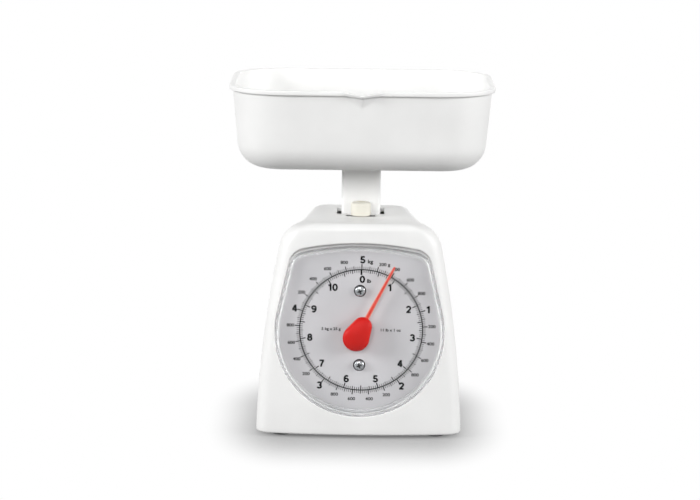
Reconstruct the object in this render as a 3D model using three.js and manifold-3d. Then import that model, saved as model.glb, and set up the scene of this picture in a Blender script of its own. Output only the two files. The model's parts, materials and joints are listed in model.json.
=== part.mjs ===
// Mechanical platform scale: a removable rectangular pan on a sprung post, a tapered housing and
// a large dial behind a clear cover. Millimetres, +Z up, the dial faces -Y, and the origin lies on
// the floor under the middle of the overall box. The rest position reads about 0.38 kg.
import * as THREE from "three";
import { mergeVertices } from "three/addons/utils/BufferGeometryUtils.js";
import Module from "manifold-3d";

// Clearances
const SEAT_GAP = 0.3;
const FIT_GAP = 0.1;
const RUN_GAP = 0.8;
const SLOT_GAP = 0.35;
const CUT_MARGIN = 1;

// Base plate and feet
const FOOT_HEIGHT = 2;
const FOOT_RADIUS = 7;
const FOOT_STEM_RADIUS = 2.5;
const FOOT_STEM_PROUD = 1.2;
const FOOT_INSET = 16;
const FOOT_CHAMFER = 0.5;
const BASE_PLATE_THICKNESS = 2.5;

// Housing
const HOUSING_WALL = 2.5;
const DECK_HEIGHT = 140;
const BASE_FRONT = 56;
const FRAME_MARGIN = 12;
const SIDE_TAPER = 14.3;
const SIDE_BOW = 2.7;
const SHOULDER_RADIUS = 20;
const FRONT_LEAN = 4;
const FRONT_EDGE_RADIUS = 5;
const FRONT_CROWN = 5;
const REAR_MARGIN = 24;
const REAR_LEAN = 21;
const REAR_BOW = 4;
const REAR_EDGE_RADIUS = 8;
const REAR_NARROWING = 6;
const REAR_SIDE_TAPER = 29.5;
const REAR_SIDE_BOW = 5;
const REAR_SHOULDER_RADIUS = 5;
const NARROWING_CURVE = 0.6;
const PLAN_CORNER_RADIUS = 9;
const BASE_EDGE_RADIUS = 1.5;
const BASE_EDGE_STEP = 0.45;
const BOSS_RADIUS = 4;
const BOSS_HEIGHT = 14;
const BOSS_INSET = 7;
const BOSS_RIB = 2.5;
const BOSS_CAP = 2;
const FRONT_BOSS_SETBACK = 36;
const REAR_BOSS_SETBACK = 30;

// Clear dial cover
const COVER_RADIUS = 54.5;
const COVER_SILL = 13;
const COVER_TO_DECK = 12.9;
const COVER_SIDE_LEAN = 12.9;
const COVER_ARCH_RADIUS = 168;
const COVER_CORNER_RADIUS = 12;
const COVER_PROUD = 5;
const COVER_WALL = 2;
const COVER_EDGE_RADIUS = 3.5;
const CLIP_WIDTH = 8;
const CLIP_REACH = 1.4;
const CLIP_LENGTH = 2.5;
const CLIP_ANGLES = [52, 128, 232, 308];

// Dial plate and its screws
const DIAL_RECESS = 12;
const DIAL_THICKNESS = 1.2;
const DIAL_MARGIN = 1.5;
const DIAL_HOLE_RADIUS = 4.5;
const UPPER_SCREW_RISE = 25.8;
const LOWER_SCREW_DROP = 23.1;
const DIAL_SCREW = { head: 3.4, height: 2.2, shank: 1.5, length: 6 };

// Pointer
const READING_ANGLE = 27.5;
const POINTER_LENGTH = 48;
const POINTER_OFF_DIAL = 4;
const HUB_REAR_RADIUS = 8.5;
const HUB_REAR_OFFSET = 5;
const HUB_NOSE_RADIUS = 4.2;
const HUB_NOSE_OFFSET = 6.2;
const HUB_SKIRT = 1.5;
const HUB_DOME = 4.5;
const NEEDLE_ROOT_HALF = 1.7;
const NEEDLE_TIP_HALF = 0.45;
const NEEDLE_THICKNESS = 1.3;

// Pinion, rack and shaft
const GEAR_MODULE = 0.5;
const PINION_TEETH = 10;
const PRESSURE_ANGLE = 20;
const PINION_ADDENDUM = 1;
const RACK_ADDENDUM = 0.6;
const ROOT_CLEARANCE = 0.25;
const BACKLASH = 0.12;
const PINION_WIDTH = 4;
const SHAFT_RADIUS = 1.2;
const BUSH_RADIUS = 2.6;
const BUSH_FLANGE_RADIUS = 4;
const BUSH_FLANGE = 1;
const RACK_BODY = 4.5;
const RACK_SPARE_TEETH = 2;
const RACK_SHEET = 1.5;
const RACK_FLANGE_HEIGHT = 16;
const RACK_FLANGE_DROP = 14;
const RACK_SCREW_INSET = 4;
const RACK_SCREW = { head: 2.4, height: 1.5, shank: 1.1, length: 3.6 };

// Chassis
const CHASSIS_SHEET = 1.5;
const CHASSIS_HALF_WIDTH = 18.5;
const CHASSIS_FLANGE = 11;
const STANDOFF_LENGTH = 6.5;
const STANDOFF_RADIUS = 4;
const BRIDGE_DROP = 18;
const BRIDGE_BEHIND_KNOB = 5.5;
const PIVOT_MARGIN = 4.5;
const WINDOW_MARGIN = 9;
const STRIP_HALF_HEIGHT = 7.5;
const STRIP_PAST_SHAFT = 7;
const CHASSIS_SCREW = { head: 3, height: 1.8, shank: 1.5, length: 4 };
const CHASSIS_SCREW_INSET = 8;

// Parallel arms and their pins
const ARM_LENGTH = 28;
const ARM_SHEET = 1.5;
const ARM_HALF_HEIGHT = 4;
const ARM_SIDE_GAP = 0.7;
const ARM_WEB_START = 5.5;
const ARM_WEB = 8;
const PIN_RADIUS = 1.5;
const PIN_HEAD_RADIUS = 2.8;
const PIN_HEAD = 1.2;
const UPPER_PIN_TO_DECK = 36;
const LOWER_PIN_DROP = 23.5;

// Carrier, post and stops
const CARRIER_HALF_WIDTH = 11;
const CARRIER_HALF_DEPTH = 6;
const CARRIER_SHEET = 1.5;
const CARRIER_ABOVE_PIN = 14;
const CARRIER_BELOW_PIN = 10;
const SADDLE_THICKNESS = 4;
const TENON_HEIGHT = 12;
const SPRING_FOOT_DROP = 15;
const SPRING_FOOT_THICKNESS = 2.5;
const SPRING_FOOT_AHEAD = 5;
const STOP_EAR_WIDTH = 5;
const STOP_EAR_OVERLAP = 0.6;
const STOP_TAB_OVERLAP = 4;
const BUMPER_RADIUS = 5;
const BUMPER_TOP_RADIUS = 4;
const BUMPER_STEM_RADIUS = 2;
const POST_WIDTH = 25.4;
const POST_DEPTH = 20;
const POST_WALL = 2;
const POST_CORNER_RADIUS = 2;
const POST_EXPOSED = 33.5;
const POST_SCREW = { head: 2.6, height: 1.6, shank: 1.3, length: 7 };
const APERTURE_SIDE_GAP = 2.8;
const APERTURE_END_GAP = 2.5;

// Zero adjuster
const KNOB_TO_POST = 19.5;
const KNOB_RADIUS = 6.5;
const KNOB_HEIGHT = 8.7;
const KNOB_EDGE_RADIUS = 1.6;
const KNOB_BORE_DEPTH = 6;
const KNOB_SLOT_WIDTH = 19;
const KNOB_SLOT_DEPTH = 7;
const ZERO_SCREW_RADIUS = 2;
const ZERO_TRAVEL = 1;
const COLLAR_RADIUS = 4;
const COLLAR_HEIGHT = 2;
const CLIP_GROOVE = 0.4;
const CLIP_THICKNESS = 1;
const HANGER_GAP = 2;
const HANGER_HALF_WIDTH = 6;
const HANGER_HALF_DEPTH = 5;
const HANGER_HEIGHT = 14;
const HANGER_SCREW_GRIP = 6;
const HANGER_STEM_GRIP = 3.5;
const HANGER_BORE_SPARE = 0.6;
const TAB_HALF_WIDTH = 1;
const TAB_HEIGHT = 6;

// Main spring
const SPRING_WIRE = 1.6;
const SPRING_MEAN_RADIUS = 6;
const SPRING_COILS = 12;
const SPRING_PITCH = 2.1;
const SPRING_RUN_IN = 0.75;
const SPRING_OPENING = 0.8;
const SPRING_CLIMB = 1.5;
const SPRING_CLEAR = 3;
const SPRING_STEPS = 8;
const SPRING_SIDES = 5;
const SPRING_STEM = 3;

// Pan
const PAN_HALF_WIDTH = 85.5;
const PAN_HALF_DEPTH = 66;
const PAN_HEIGHT = 53;
const PAN_WALL = 2.2;
const PAN_LIP = 2;
const PAN_LIP_HEIGHT = 3;
const PAN_LIP_ROUND = 0.8;
const PAN_DRAFT = 5.4;
const PAN_BOTTOM_RADIUS = 17;
const PAN_CORNER_RADIUS = 36;
const SPOUT_PROUD = 4;
const SPOUT_HALF_WIDTH = 13;
const SPOUT_DROP = 10;
const SOCKET_DEPTH = 5;
const SOCKET_WALL = 2;

// Base and housing screws
const BASE_SCREW = { head: 2.8, height: 1.2, shank: 1.4, length: 11 };

// Screw forms, as shares of the shank or of the head's radius and height
const SCREW_POINT = 0.8;
const HEAD_RIM = 0.45;
const HEAD_CROWN = { radius: 0.8, height: 0.85 };
const HEAD_FLAT = 0.4;
const RECESS_ARM = 0.55;
const RECESS_BLADE = 0.13;

// Facets
const ROUND_STEPS = 20;
const SMALL_STEPS = 12;
const CORNER_STEPS = 5;
const CURVE_STEPS = 6;
const FRONT_STEPS = 6;
const PAN_FRONT_STEPS = 16;
const WALL_STEPS = 5;
const SHOULDER_STEPS = 6;
const SIDE_STEPS = 4;
const ARC_STEP = 10;
const ARC_CHORD = 8;
const EDGE_ANGLES = [0, 30, 60, 90];
const DOME_ANGLES = [0, 20, 40, 60, 80];
const PAN_ARC_SHARES = [1, 0.8, 0.6, 0.4, 0.2, 0];
const SCREW_STEPS = 8;

// Places that follow from the sizes above: front to back
const DEGREE = Math.PI / 180;
const DIAL_FRONT = DIAL_RECESS - BASE_FRONT;
const DIAL_BACK = DIAL_FRONT + DIAL_THICKNESS;
const PLATE_FRONT = DIAL_BACK + SEAT_GAP + STANDOFF_LENGTH;
const PLATE_BACK = PLATE_FRONT + CHASSIS_SHEET;
const PINION_FRONT = PLATE_BACK + RUN_GAP;
const PINION_BACK = PINION_FRONT + PINION_WIDTH;
const STRIP_FRONT = PINION_BACK + RUN_GAP;
const STRIP_BACK = STRIP_FRONT + CHASSIS_SHEET;
const KNOB_Y = STRIP_BACK + SPRING_CLEAR + SPRING_MEAN_RADIUS + SPRING_WIRE / 2;
const POST_Y = KNOB_Y + KNOB_TO_POST;
const PIVOT_Y = POST_Y + ARM_LENGTH;
const BASE_REAR = PIVOT_Y + REAR_MARGIN;
const CARRIER_FRONT = POST_Y - CARRIER_HALF_DEPTH;
const CARRIER_BACK = POST_Y + CARRIER_HALF_DEPTH;
const COVER_FRONT = -BASE_FRONT - COVER_PROUD;
const POINTER_BACK = DIAL_FRONT - POINTER_OFF_DIAL;

// Places that follow from the sizes above: bottom to top
const BASE_PLATE_TOP = FOOT_HEIGHT + BASE_PLATE_THICKNESS;
const DIAL_HEIGHT = FOOT_HEIGHT + COVER_SILL + COVER_RADIUS;
const COVER_TOP = DECK_HEIGHT - COVER_TO_DECK - DIAL_HEIGHT;
const TURN_TRAVEL = Math.PI * GEAR_MODULE * PINION_TEETH;
const TRAVEL_UP = (TURN_TRAVEL * READING_ANGLE) / 360;
const TRAVEL_DOWN = TURN_TRAVEL - TRAVEL_UP;
const ARM_RISE = TURN_TRAVEL / 2 - TRAVEL_UP;
const UPPER_PIN_Z = DECK_HEIGHT - UPPER_PIN_TO_DECK;
const LOWER_PIN_Z = DIAL_HEIGHT - LOWER_PIN_DROP;
const CARRIER_TOP = UPPER_PIN_Z + CARRIER_ABOVE_PIN;
const CARRIER_BOTTOM = LOWER_PIN_Z - CARRIER_BELOW_PIN;
const SPRING_FOOT_TOP = DIAL_HEIGHT - SPRING_FOOT_DROP;
const SPRING_FOOT_BOTTOM = SPRING_FOOT_TOP - SPRING_FOOT_THICKNESS;
const BRIDGE_TOP = DECK_HEIGHT - HOUSING_WALL - BRIDGE_DROP;
const BRIDGE_BOTTOM = BRIDGE_TOP - CHASSIS_SHEET;
const CLIP_TOP = BRIDGE_BOTTOM - SEAT_GAP;
const HANGER_TOP = CLIP_TOP - CLIP_THICKNESS - HANGER_GAP;
const HANGER_BOTTOM = HANGER_TOP - HANGER_HEIGHT;
const TAB_BOTTOM = HANGER_BOTTOM + (HANGER_HEIGHT - TAB_HEIGHT) / 2;
const PAN_BOTTOM = DECK_HEIGHT + POST_EXPOSED;
const CHASSIS_BOTTOM = BASE_PLATE_TOP + SEAT_GAP;

// Places that follow from the sizes above: side to side
const BASE_HALF_WIDTH = COVER_RADIUS + FRAME_MARGIN;
const PITCH_RADIUS = (GEAR_MODULE * PINION_TEETH) / 2;
const RACK_BACK = PITCH_RADIUS + (PINION_ADDENDUM + ROOT_CLEARANCE) * GEAR_MODULE + RACK_BODY;
const CHEEK_INNER = CHASSIS_HALF_WIDTH - CHASSIS_SHEET;
const FLANGE_INNER = CARRIER_HALF_WIDTH + SEAT_GAP;
const FLANGE_OUTER = FLANGE_INNER + RACK_SHEET;
const ARM_INNER = FLANGE_OUTER + ARM_SIDE_GAP;
const ARM_OUTER = ARM_INNER + ARM_SHEET;

const wasm = await Module();
wasm.setup();

// Finishes
function finish(color, roughness, metalness) {
  return new THREE.MeshStandardMaterial({ color, roughness, metalness });
}
const WHITE_PLASTIC = finish(0xf2f2f0, 0.42, 0);
const CREAM_PLASTIC = finish(0xf6f2e6, 0.4, 0);
const RED_PLASTIC = finish(0xd62f27, 0.32, 0);
const DIAL_GREY = finish(0xcdcbce, 0.6, 0);
const BLACK_RUBBER = finish(0x232325, 0.9, 0);
const BRIGHT_STEEL = finish(0xc9cacc, 0.22, 1);
const PLATED_STEEL = finish(0xa9adb0, 0.42, 1);
const BRASS = finish(0xb5984b, 0.35, 1);
const CLEAR_PLASTIC = finish(0xe9eff1, 0.08, 0);
CLEAR_PLASTIC.transparent = true;
CLEAR_PLASTIC.opacity = 0.25;

// Solids and their joins and cuts
function solid(geometry) {
  const bare = new THREE.BufferGeometry();
  bare.setAttribute("position", geometry.getAttribute("position").clone());
  bare.setIndex(geometry.index);
  const merged = mergeVertices(bare);
  const corners = merged.index.array;
  const kept = [];
  for (let i = 0; i < corners.length; i += 3) {
    const [a, b, c] = corners.slice(i, i + 3);
    if (a !== b && b !== c && c !== a) kept.push(a, b, c);
  }
  return new wasm.Manifold(
    new wasm.Mesh({
      numProp: 3,
      vertProperties: merged.getAttribute("position").array,
      triVerts: Uint32Array.from(kept),
    }),
  );
}

function geometryOf(manifold) {
  const made = manifold.getMesh();
  const geometry = new THREE.BufferGeometry();
  geometry.setAttribute("position", new THREE.BufferAttribute(made.vertProperties, 3));
  geometry.setIndex(new THREE.BufferAttribute(made.triVerts, 1));
  geometry.computeVertexNormals();
  return geometry;
}

function joined(pieces) {
  return pieces.map(solid).reduce((whole, piece) => whole.add(piece));
}

function cutAway(whole, tools) {
  return tools.map(solid).reduce((left, tool) => left.subtract(tool), whole);
}

// A block between two corners.
function block(x0, x1, y0, y1, z0, z1) {
  const geometry = new THREE.BoxGeometry(x1 - x0, y1 - y0, z1 - z0);
  return geometry.translate((x0 + x1) / 2, (y0 + y1) / 2, (z0 + z1) / 2);
}

// An outline drawn in (y, z) and given thickness along X.
function plateAcross(shape, x0, x1) {
  const geometry = new THREE.ExtrudeGeometry(shape, extrusion(x1 - x0));
  const basis = new THREE.Matrix4().makeBasis(
    new THREE.Vector3(0, 1, 0),
    new THREE.Vector3(0, 0, 1),
    new THREE.Vector3(1, 0, 0),
  );
  return geometry.applyMatrix4(basis).translate(x0, 0, 0);
}

// An outline drawn in (x, z) and given thickness along Y.
function plateFacing(shape, y0, y1) {
  const geometry = new THREE.ExtrudeGeometry(shape, extrusion(y1 - y0));
  return geometry.rotateX(Math.PI / 2).translate(0, y1, 0);
}

// An outline drawn in (x, y) and given thickness along Z.
function plateFlat(shape, z0, z1) {
  return new THREE.ExtrudeGeometry(shape, extrusion(z1 - z0)).translate(0, 0, z0);
}

function extrusion(depth) {
  return { depth, bevelEnabled: false, curveSegments: CURVE_STEPS };
}

// Turned pieces: the profile lists (radius, place along the axis), the outside running upward.
function turned(profile, steps = SMALL_STEPS) {
  return new THREE.LatheGeometry(
    profile.map(([radius, along]) => new THREE.Vector2(radius, along)),
    steps,
  );
}

function alongZ(geometry) {
  return geometry.rotateX(Math.PI / 2);
}

function alongX(geometry) {
  return geometry.rotateZ(-Math.PI / 2);
}

function rod(radius, from, to, steps = SMALL_STEPS) {
  return turned([[0, from], [radius, from], [radius, to], [0, to]], steps);
}

// A skin through equal rings of points, capped at both ends.
function loft(rings) {
  const count = rings[0].length;
  const positions = [];
  const triangles = [];
  const capCentre = (ring) => {
    const centre = ring.reduce((sum, p) => sum.add(p), new THREE.Vector3());
    return centre.divideScalar(count);
  };
  rings.flat().forEach((p) => positions.push(p.x, p.y, p.z));
  const last = (rings.length - 1) * count;
  const startCentre = rings.length * count;
  [capCentre(rings[0]), capCentre(rings.at(-1))].forEach((p) => positions.push(p.x, p.y, p.z));
  for (let i = 0; i < count; i++) {
    const next = (i + 1) % count;
    triangles.push(startCentre, next, i);
    triangles.push(startCentre + 1, last + i, last + next);
    for (let level = 0; level < last; level += count) {
      const above = level + count;
      triangles.push(level + i, level + next, above + next);
      triangles.push(level + i, above + next, above + i);
    }
  }
  const geometry = new THREE.BufferGeometry();
  geometry.setAttribute("position", new THREE.Float32BufferAttribute(positions, 3));
  geometry.setIndex(triangles);
  geometry.computeVertexNormals();
  return geometry;
}

// A rounded rectangle seen from above, with extra points along its front and its two sides.
function roundedOutline(half, front, rear, corner, frontSteps = 1, sideSteps = 1) {
  const run = half - corner;
  const centres = [
    [run, rear - corner],
    [-run, rear - corner],
    [-run, corner - front],
    [run, corner - front],
  ];
  const arcs = centres.map(([x, y], quarter) => {
    const arc = [];
    for (let i = 0; i <= CORNER_STEPS; i++) {
      const angle = ((quarter + i / CORNER_STEPS) * Math.PI) / 2;
      arc.push(new THREE.Vector2(x + corner * Math.cos(angle), y + corner * Math.sin(angle)));
    }
    return arc;
  });
  const steps = [1, sideSteps, frontSteps, sideSteps];
  return arcs.flatMap((arc, quarter) => {
    const next = arcs[(quarter + 1) % arcs.length][0];
    const run = arc.slice();
    for (let i = 1; i < steps[quarter]; i++)
      run.push(arc.at(-1).clone().lerp(next, i / steps[quarter]));
    return run;
  });
}

function roundedShape(half, depth, corner) {
  return new THREE.Shape(roundedOutline(half, depth, depth, corner));
}

// Points along a closed outline: arcs in steps of an angle and a chord, straight runs by their ends.
function outlinePoints(path) {
  const drawn = path.curves.filter((curve) => curve.getLength() > FIT_GAP / 100);
  return drawn.flatMap((curve) => {
    const sweep = curve.isEllipseCurve ? Math.abs(curve.aEndAngle - curve.aStartAngle) : 0;
    const byAngle = Math.round(sweep / (ARC_STEP * DEGREE));
    const byChord = sweep ? Math.round(curve.getLength() / ARC_CHORD) : 0;
    return curve.getPoints(Math.max(1, byAngle, byChord)).slice(0, -1);
  });
}

function circlePath(u, v, radius) {
  return new THREE.Path().absarc(u, v, radius, 0, 2 * Math.PI, true);
}

// A slot with round ends, its length along the first coordinate.
function slotPath(centre, across, halfRun, radius) {
  const path = new THREE.Path();
  path.absarc(centre + halfRun, across, radius, -Math.PI / 2, Math.PI / 2, false);
  path.absarc(centre - halfRun, across, radius, Math.PI / 2, (3 * Math.PI) / 2, false);
  path.closePath();
  return path;
}

function rectanglePath(u0, u1, v0, v1) {
  return new THREE.Path([
    new THREE.Vector2(u0, v0),
    new THREE.Vector2(u0, v1),
    new THREE.Vector2(u1, v1),
    new THREE.Vector2(u1, v0),
  ]);
}

// A cross-recessed screw along Y: the head's underside at 0, its top towards +Y.
function screw({ head, height, shank, length }, steps = SCREW_STEPS) {
  const point = shank * SCREW_POINT;
  const body = turned([
    [0, -length],
    [shank - FIT_GAP - point / 2, -length],
    [shank - FIT_GAP, point - length],
    [shank - FIT_GAP, 0],
    [head, 0],
    [head, height * HEAD_RIM],
    [head * HEAD_CROWN.radius, height * HEAD_CROWN.height],
    [head * HEAD_FLAT, height],
    [0, height],
  ], steps);
  const arm = head * RECESS_ARM;
  const blade = head * RECESS_BLADE;
  const floor = height * HEAD_RIM;
  const over = height + CUT_MARGIN;
  const recess = [
    block(-arm, arm, floor, over, -blade, blade),
    block(-blade, blade, floor, over, -arm, arm),
  ];
  return geometryOf(cutAway(solid(body), recess));
}

// Housing walls: half width or depth at the base, how far the wall leans in, its bow and its top edge.
const SIDE = { base: BASE_HALF_WIDTH, lean: SIDE_TAPER, bow: SIDE_BOW, radius: SHOULDER_RADIUS };
const REAR_SIDE = {
  base: BASE_HALF_WIDTH - REAR_NARROWING,
  lean: REAR_SIDE_TAPER,
  bow: REAR_SIDE_BOW,
  radius: REAR_SHOULDER_RADIUS,
};
const FRONT = { base: BASE_FRONT, lean: FRONT_LEAN, bow: 0, radius: FRONT_EDGE_RADIUS };
const REAR = { base: BASE_REAR, lean: REAR_LEAN, bow: REAR_BOW, radius: REAR_EDGE_RADIUS };

function topSlope(wall) {
  return Math.atan2(wall.lean + 4 * wall.bow, DECK_HEIGHT - wall.radius - FOOT_HEIGHT);
}

// Distance of a wall from the middle at height z, moved in by the inset.
function wallAt(z, wall, inset) {
  const slope = topSlope(wall);
  const arcStart = DECK_HEIGHT - wall.radius * (1 - Math.sin(slope));
  if (z <= arcStart) {
    const share = (z - FOOT_HEIGHT) / (arcStart - FOOT_HEIGHT);
    return wall.base - wall.lean * share + 4 * wall.bow * share * (1 - share) - inset;
  }
  const reach = wall.radius - inset;
  const up = z - DECK_HEIGHT + wall.radius;
  const arcCentre = wall.base - wall.lean - wall.radius * Math.cos(slope);
  return arcCentre + Math.sqrt(Math.max(0, reach * reach - up * up));
}

// How much narrower the housing is at a place behind the dial, from 0 there to 1 at the rear wall.
function narrowingAt(y, rear) {
  const share = THREE.MathUtils.clamp((y - DIAL_BACK) / (rear - DIAL_BACK), 0, 1);
  return share ** NARROWING_CURVE;
}

// The plan narrows behind the dial, and its front is crowned.
function housingRing(z, inset) {
  const below = Math.max(0, BASE_EDGE_RADIUS - (z - FOOT_HEIGHT));
  const rounded = BASE_EDGE_RADIUS - Math.sqrt(Math.max(0, BASE_EDGE_RADIUS ** 2 - below ** 2));
  const trim = inset + (inset === 0 ? rounded : 0);
  const half = wallAt(z, SIDE, trim);
  const front = wallAt(z, FRONT, trim);
  const rear = wallAt(z, REAR, trim);
  const narrow = wallAt(z, REAR_SIDE, trim) / half;
  const corner = PLAN_CORNER_RADIUS - inset;
  return roundedOutline(half, front, rear, corner, FRONT_STEPS, SIDE_STEPS).map((p) => {
    const back = (p.y + front) / (front + rear);
    const x = p.x * THREE.MathUtils.lerp(1, narrow, narrowingAt(p.y, rear));
    const y = p.y + FRONT_CROWN * (p.x / half) ** 2 * (1 - back);
    return new THREE.Vector3(x, y, z);
  });
}

function housingLevels(inset, bottom) {
  const slope = topSlope(SIDE);
  const levels = bottom.slice();
  const start = levels.at(-1);
  const arcHeight = (i) => {
    const angle = slope + ((Math.PI / 2 - slope) * i) / SHOULDER_STEPS;
    return DECK_HEIGHT - SHOULDER_RADIUS + (SHOULDER_RADIUS - inset) * Math.sin(angle);
  };
  for (let i = 1; i <= WALL_STEPS; i++)
    levels.push(THREE.MathUtils.lerp(start, arcHeight(0), i / WALL_STEPS));
  for (let i = 1; i <= SHOULDER_STEPS; i++) levels.push(arcHeight(i));
  return levels;
}

// Inner face of a side wall at a place along the housing.
function sideInnerAt(y, z) {
  const share = narrowingAt(y, wallAt(z, REAR, HOUSING_WALL));
  return THREE.MathUtils.lerp(wallAt(z, SIDE, HOUSING_WALL), wallAt(z, REAR_SIDE, HOUSING_WALL), share);
}

// Inner face of the front wall at a place across it and up it.
function frontInnerAt(x, z) {
  const crown = FRONT_CROWN * (x / wallAt(z, SIDE, HOUSING_WALL)) ** 2;
  return crown - wallAt(z, FRONT, HOUSING_WALL);
}

const BOSS_PLACES = [FRONT_BOSS_SETBACK - BASE_FRONT, BASE_REAR - REAR_BOSS_SETBACK].flatMap((y) =>
  [-1, 1].map((side) => ({ x: side * (sideInnerAt(y, BASE_PLATE_TOP) - BOSS_INSET), y, side })),
);

const FOOT_PLACES = [FOOT_INSET - BASE_FRONT, BASE_REAR - FOOT_INSET].flatMap((y) =>
  [-1, 1].map((side) => ({ x: side * (sideInnerAt(y, FOOT_HEIGHT) + HOUSING_WALL - FOOT_INSET), y })),
);

const CHASSIS_SCREW_X = CHASSIS_HALF_WIDTH + CHASSIS_FLANGE / 2;
const CHASSIS_REAR = PIVOT_Y + PIVOT_MARGIN;
const CHASSIS_SCREW_PLACES = [PLATE_FRONT + CHASSIS_SCREW_INSET, CHASSIS_REAR - CHASSIS_SCREW_INSET]
  .flatMap((y) => [-1, 1].map((side) => ({ x: side * CHASSIS_SCREW_X, y })));

// The cover's outline about the dial axis: a round bottom, leaning sides, soft corners and a flat arch.
function coverOutline(offset) {
  const lean = COVER_SIDE_LEAN * DEGREE;
  const radius = COVER_RADIUS + offset;
  const arch = COVER_ARCH_RADIUS + offset;
  const archZ = COVER_TOP - COVER_ARCH_RADIUS;
  const side = new THREE.Vector2(-Math.sin(lean), Math.cos(lean));
  const start = new THREE.Vector2(Math.cos(lean), Math.sin(lean));
  start.multiplyScalar(COVER_RADIUS - COVER_CORNER_RADIUS);
  const toArch = start.clone().sub(new THREE.Vector2(0, archZ));
  const along = toArch.dot(side);
  const room = (COVER_ARCH_RADIUS - COVER_CORNER_RADIUS) ** 2 - toArch.lengthSq() + along ** 2;
  const corner = start.addScaledVector(side, Math.sqrt(room) - along);
  const turn = Math.atan2(corner.y - archZ, corner.x);
  const round = COVER_CORNER_RADIUS + offset;
  const shape = new THREE.Shape();
  shape.absarc(0, 0, radius, Math.PI - lean, 2 * Math.PI + lean, false);
  shape.absarc(corner.x, corner.y, round, lean, turn, false);
  shape.absarc(0, archZ, arch, turn, Math.PI - turn, false);
  shape.absarc(-corner.x, corner.y, round, Math.PI - turn, Math.PI - lean, false);
  shape.closePath();
  return outlinePoints(shape);
}

// The same outline as a shape, and as a ring of points at one depth.
function coverShape(offset) {
  return new THREE.Shape(coverOutline(offset));
}

function coverRing(offset, y) {
  return coverOutline(offset).map((p) => new THREE.Vector3(p.x, y, p.y + DIAL_HEIGHT));
}

function atDial(shape, y0, y1) {
  return plateFacing(shape, y0, y1).translate(0, 0, DIAL_HEIGHT);
}

function makeHousing() {
  const foot = [0, BASE_EDGE_STEP, BASE_EDGE_RADIUS].map((rise) => FOOT_HEIGHT + rise);
  const outer = solid(loft(housingLevels(0, foot).map((z) => housingRing(z, 0))));
  const innerLevels = housingLevels(HOUSING_WALL, [0]);
  const inner = loft(innerLevels.map((z) => housingRing(z, HOUSING_WALL)));
  const bossBottom = BASE_PLATE_TOP + SEAT_GAP;
  const bosses = BOSS_PLACES.flatMap(({ x, y, side }) => {
    const wall = x + side * (BOSS_INSET + HOUSING_WALL);
    const ribs = [Math.min(x, wall), Math.max(x, wall)];
    const top = bossBottom + BOSS_HEIGHT;
    return [
      alongZ(rod(BOSS_RADIUS, bossBottom, top)).translate(x, y, 0),
      block(ribs[0], ribs[1], y - BOSS_RIB / 2, y + BOSS_RIB / 2, bossBottom, top),
    ];
  });
  const shell = cutAway(outer, [inner]).add(joined(bosses).intersect(outer));
  const apertureX = POST_WIDTH / 2 + APERTURE_SIDE_GAP;
  const apertureY = POST_DEPTH / 2 + APERTURE_END_GAP;
  const under = DECK_HEIGHT - 2 * HOUSING_WALL;
  const over = DECK_HEIGHT + HOUSING_WALL;
  const slotX = KNOB_SLOT_WIDTH / 2;
  const slotY = KNOB_SLOT_DEPTH / 2;
  const boreTop = bossBottom + BOSS_HEIGHT - BOSS_CAP;
  const screwBores = BOSS_PLACES.map(({ x, y }) =>
    alongZ(rod(BASE_SCREW.shank, bossBottom - CUT_MARGIN, boreTop)).translate(x, y, 0),
  );
  return cutAway(shell, [
    atDial(coverShape(SEAT_GAP), COVER_FRONT, DIAL_FRONT),
    block(-apertureX, apertureX, POST_Y - apertureY, POST_Y + apertureY, under, over),
    block(-slotX, slotX, KNOB_Y - slotY, KNOB_Y + slotY, under, over),
    ...screwBores,
  ]);
}

function makeBasePlate() {
  const inset = HOUSING_WALL + SEAT_GAP;
  const plate = loft([FOOT_HEIGHT, BASE_PLATE_TOP].map((z) => housingRing(z, inset)));
  const hole = (radius) => ({ x, y }) =>
    alongZ(rod(radius, 0, BASE_PLATE_TOP + CUT_MARGIN)).translate(x, y, 0);
  return cutAway(solid(plate), [
    ...FOOT_PLACES.map(hole(FOOT_STEM_RADIUS + FIT_GAP)),
    ...BOSS_PLACES.map(hole(BASE_SCREW.shank + FIT_GAP)),
    ...CHASSIS_SCREW_PLACES.map(hole(CHASSIS_SCREW.shank)),
    hole(BUMPER_STEM_RADIUS + FIT_GAP)({ x: 0, y: POST_Y }),
  ]);
}

function makeFoot() {
  const discTop = FOOT_HEIGHT - SEAT_GAP;
  const stemTop = BASE_PLATE_TOP + FOOT_STEM_PROUD;
  return alongZ(
    turned([
      [0, 0],
      [FOOT_RADIUS - FOOT_CHAMFER, 0],
      [FOOT_RADIUS, FOOT_CHAMFER],
      [FOOT_RADIUS, discTop],
      [FOOT_STEM_RADIUS, discTop],
      [FOOT_STEM_RADIUS, stemTop - FOOT_CHAMFER],
      [FOOT_STEM_RADIUS - FOOT_CHAMFER, stemTop],
      [0, stemTop],
    ]),
  );
}

// The rubber stop that the carrier meets at full load.
function makeBumper() {
  const top = CARRIER_BOTTOM - TRAVEL_DOWN - SEAT_GAP;
  return alongZ(
    turned([
      [0, FOOT_HEIGHT + SEAT_GAP],
      [BUMPER_STEM_RADIUS, FOOT_HEIGHT + SEAT_GAP],
      [BUMPER_STEM_RADIUS, CHASSIS_BOTTOM],
      [BUMPER_RADIUS, CHASSIS_BOTTOM],
      [BUMPER_TOP_RADIUS, top],
      [0, top],
    ]),
  ).translate(0, POST_Y, 0);
}

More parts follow.
